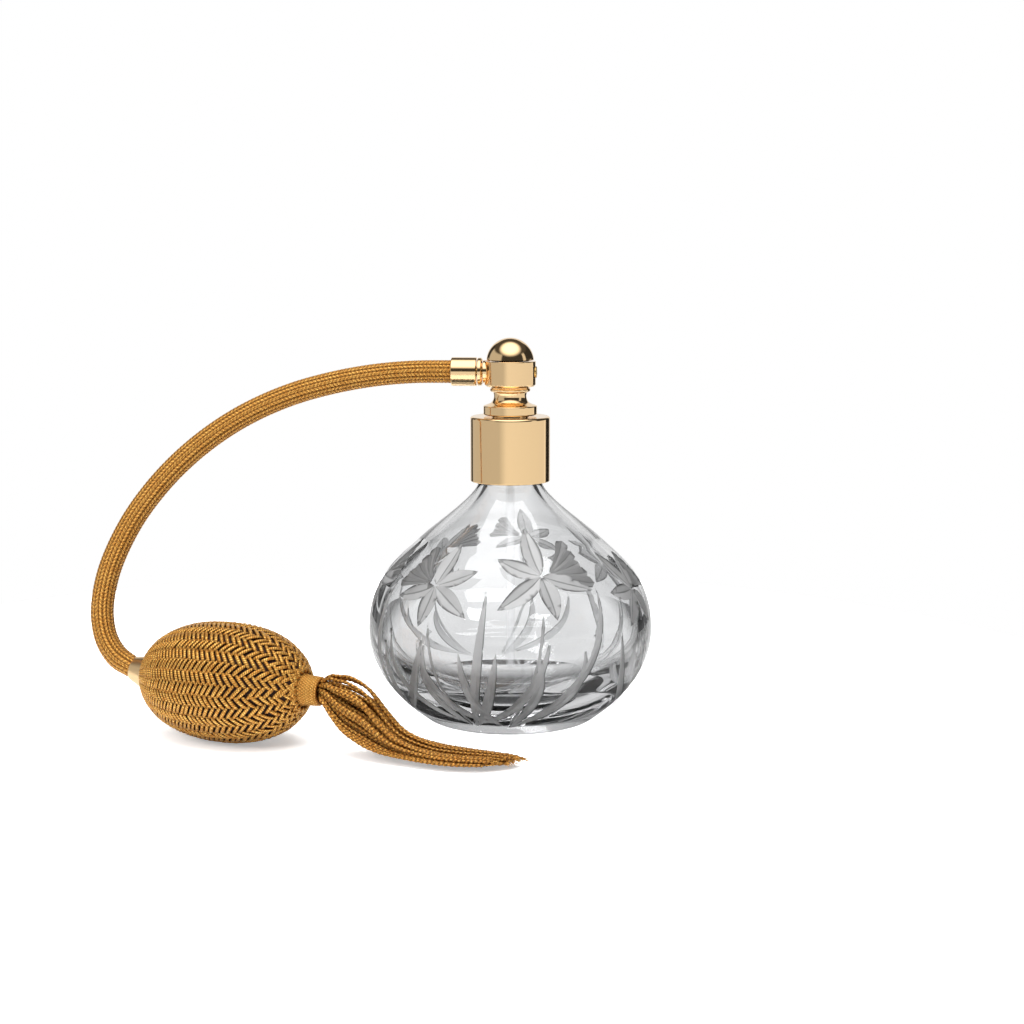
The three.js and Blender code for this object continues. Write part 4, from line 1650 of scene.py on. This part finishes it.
def cord_rings(path, radius, twist, start_angle, sides=6):
    """A two-ply cord: a waisted section that turns as it goes along."""
    along = travelled(path)
    _, side, rise = path_frames(path, (0.1, 0.2, 1.0))
    ring_angle = np.linspace(0, TURN, sides, endpoint=False)
    section = radius * (0.66 + 0.34 * np.abs(np.cos(ring_angle)) ** 1.2)
    end = np.clip((along[-1] - along) / 1.2, 0.25, 1.0)
    turn = ring_angle[None, :] + along[:, None] * TURN / twist + start_angle
    reach = section[None, :] * end[:, None]
    return rings_round(path, side, rise, turn, reach), along, section / radius


def build_tassel(settings):
    """The skirt: twisted cords that fall from the sleeve and lie along the ground, each with a frayed end."""
    rng = random.Random(11)
    spine = smooth_path(SKIRT, 0.4)
    lengths = travelled(spine)
    total = lengths[-1]
    heading = np.gradient(spine[:, :2], axis=0)
    heading /= np.linalg.norm(heading, axis=1)[:, None]
    across = np.stack([-heading[:, 1], heading[:, 0]], axis=1)
    radius = settings.cord_radius / MM
    count = settings.tassel_cords
    parts, lays, relief_shades = [], [], []

    def run_cord(offset_a, offset_b, reach_share, wander, thick):
        """One cord at that place in the skirt's section, as shares of its half width and half height.

        It ends at that share of the skirt's length, and wanders by that share of its section.
        """
        last = int(len(spine) * reach_share)
        share = lengths[:last] / total
        onset = np.clip(share * 6, 0, 1)
        phase_a, phase_b = rng.uniform(0, TURN), rng.uniform(0, TURN)
        a = offset_a + wander * np.sin(TURN * share * rng.uniform(0.7, 1.3) + phase_a) * onset
        b = offset_b + wander * np.sin(TURN * share * rng.uniform(0.7, 1.3) + phase_b) * onset
        size = np.maximum(np.hypot(a, b), 1.0)
        if offset_a**2 + offset_b**2 < 1.01:
            a, b = a / size, b / size
        side = a * (spine[:last, 3] - radius)
        path = np.empty((last, 3))
        path[:, :2] = spine[:last, :2] + across[:last] * side[:, None]
        path[:, 2] = spine[:last, 2] + b * (spine[:last, 4] - radius)
        path[:, 2] = np.maximum(path[:, 2], radius + 0.03)
        rings, along, section = cord_rings(path, radius * thick, 3.2, rng.uniform(0, TURN))
        points, faces = capped(rings)
        parts.append((points, faces))
        quads = ring_lay(rings.shape[1], 1.0, along)
        caps = np.zeros((6 * rings.shape[1], 3))
        lay = np.vstack([quads, caps])
        lay[:, 2] = rng.uniform(0, 40)
        lays.append(lay)
        tone = 0.85 + 0.15 * rng.random()
        # Painted shade: darker in the groove between the plies and at the end caps; the tone is each cord's
        # own.
        lit = np.broadcast_to(((section - 0.6) / 0.4).clip(0.12, 1)[None, :], rings.shape[:2]) * tone
        lit = lit * np.linspace(1.1, 1.1 - 0.38 * reach_share, len(rings))[:, None]  # painted shade, darker towards the tips
        relief_shades.append(np.concatenate([lit.ravel(), (0.2, 0.2)]))
        fray(path[-1], path[-1] - path[-4])

    def fray(end, way):
        """A few loose filaments at a cord's end."""
        way = way / np.linalg.norm(way)
        for _ in range(3):
            lean = np.array([rng.uniform(-0.5, 0.5) for _ in range(3)])
            reach = rng.uniform(0.8, 2.0)
            bend = way + lean * 0.8
            steps = np.linspace(0, 1, 4)[:, None]
            path = end - way * 0.3 + bend * steps * reach + lean * steps**2 * reach * 0.5
            path[:, 2] = np.maximum(path[:, 2], 0.16)
            _, side, rise = path_frames(path, (0.1, 0.2, 1.0))
            ring_angle = np.linspace(0, TURN, 4, endpoint=False)
            reach_out = np.linspace(0.17, 0.05, 4)[:, None]
            points, faces = capped(rings_round(path, side, rise, ring_angle, reach_out))
            parts.append((points, faces))
            lays.append(np.vstack([ring_lay(4, 1.0, travelled(path)), np.zeros((24, 3))]))
            relief_shades.append(np.full(len(points), 0.8))

    golden = math.pi * (3 - math.sqrt(5))
    clumps = 15
    strays = ((0.1, 1.14, 0.94), (0.3, 1.02, 0.9), (-0.2, 1.04, 0.96))  # cords that stand off the top
    for i in range(count - len(strays)):
        clump = i % clumps
        spread = math.sqrt((clump + 0.6) / clumps) * 0.86
        turn = clump * golden
        nudge = rng.uniform(0, TURN)
        near = rng.uniform(0.04, 0.15)
        run_cord(
            spread * math.cos(turn) + near * math.cos(nudge),
            spread * math.sin(turn) + near * math.sin(nudge),
            min(1.0, 0.915 + 0.07 * spread * math.cos(turn) + rng.uniform(-0.05, 0.035)),
            0.05,
            rng.uniform(0.92, 1.06),
        )
    for offset_a, offset_b, reach_share in strays:
        run_cord(offset_a, offset_b, reach_share, 0.03, 1.0)
    made = piece("tassel_cords", merged(parts), finish("tassel"))
    corner_lay(made, np.vstack(lays))
    point_value(made, "relief_shade", np.concatenate(relief_shades))
    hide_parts("tassel_skirt")
    root = BULB_CENTRE + BULB_AXIS * SLEEVE_END
    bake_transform(made, "bulb", "tassel", start=tuple(root * MM), end=tuple((root + BULB_AXIS * 12) * MM))


# ---- operators ----


class ATOMISER_OT_stage(bpy.types.Operator):
    """Makes the camera, the pale table, the soft lights and the white room"""

    bl_idname = "atomiser.stage"
    bl_label = "Stage"

    def execute(self, context):
        build_stage(context.scene.atomiser_stage)
        return {"FINISHED"}


class ATOMISER_OT_hose(bpy.types.Operator):
    """Makes the braided hose between the head and the bulb"""

    bl_idname = "atomiser.hose"
    bl_label = "Braided hose"

    def execute(self, context):
        build_hose(context.scene.atomiser_thread)
        return {"FINISHED"}


class ATOMISER_OT_fittings(bpy.types.Operator):
    """Makes the polished gold fittings, from the collar to the bulb's cone"""

    bl_idname = "atomiser.fittings"
    bl_label = "Gold fittings"

    def execute(self, context):
        build_fittings()
        return {"FINISHED"}


class ATOMISER_OT_inner(bpy.types.Operator):
    """Finishes the seals, threads and valve inside, and makes the dip tube"""

    bl_idname = "atomiser.inner"
    bl_label = "Inner pieces"

    def execute(self, context):
        finish_inner_pieces()
        return {"FINISHED"}


class ATOMISER_OT_bottle(bpy.types.Operator):
    """Makes the crystal bottle with its cut flowers"""

    bl_idname = "atomiser.bottle"
    bl_label = "Crystal bottle"

    def execute(self, context):
        build_bottle(context.scene.atomiser_glass)
        return {"FINISHED"}


class ATOMISER_OT_bulb(bpy.types.Operator):
    """Makes the rubber bulb and its knitted cover"""

    bl_idname = "atomiser.bulb"
    bl_label = "Knitted bulb"

    def execute(self, context):
        build_bulb(context.scene.atomiser_thread)
        return {"FINISHED"}


class ATOMISER_OT_tassel(bpy.types.Operator):
    """Makes the woven sleeve and the tassel's cords"""

    bl_idname = "atomiser.tassel"
    bl_label = "Tassel"

    def execute(self, context):
        build_sleeve()
        build_tassel(context.scene.atomiser_thread)
        return {"FINISHED"}


OPERATORS = (
    ATOMISER_OT_stage,
    ATOMISER_OT_hose,
    ATOMISER_OT_fittings,
    ATOMISER_OT_inner,
    ATOMISER_OT_bottle,
    ATOMISER_OT_bulb,
    ATOMISER_OT_tassel,
)


class ATOMISER_PT_panel(bpy.types.Panel):
    """Lists the settings and the pieces"""

    bl_idname = "ATOMISER_PT_panel"
    bl_label = "Perfume atomiser"
    bl_space_type = "VIEW_3D"
    bl_region_type = "UI"
    bl_category = "Atomiser"

    def draw(self, context):
        for group in SETTINGS:
            settings = getattr(context.scene, group)
            for key in settings.bl_rna.properties.keys():
                if key not in ("name", "rna_type"):
                    self.layout.prop(settings, key)
        for operator in OPERATORS:
            self.layout.operator(operator.bl_idname)


SETTINGS = {
    "atomiser_stage": AtomiserStageSettings,
    "atomiser_glass": AtomiserGlassSettings,
    "atomiser_metal": AtomiserMetalSettings,
    "atomiser_thread": AtomiserThreadSettings,
}


def register():
    for group, settings in SETTINGS.items():
        bpy.utils.register_class(settings)
        setattr(bpy.types.Scene, group, PointerProperty(type=settings))
    for operator in OPERATORS:
        bpy.utils.register_class(operator)
    bpy.utils.register_class(ATOMISER_PT_panel)


def unregister():
    bpy.utils.unregister_class(ATOMISER_PT_panel)
    for operator in reversed(OPERATORS):
        bpy.utils.unregister_class(operator)
    for group, settings in SETTINGS.items():
        delattr(bpy.types.Scene, group)
        bpy.utils.unregister_class(settings)


def main():
    register()
    bpy.ops.atomiser.stage()
    bpy.ops.atomiser.hose()
    bpy.ops.atomiser.fittings()
    bpy.ops.atomiser.inner()
    bpy.ops.atomiser.bottle()
    bpy.ops.atomiser.bulb()
    bpy.ops.atomiser.tassel()


if __name__ == "__main__":
    main()
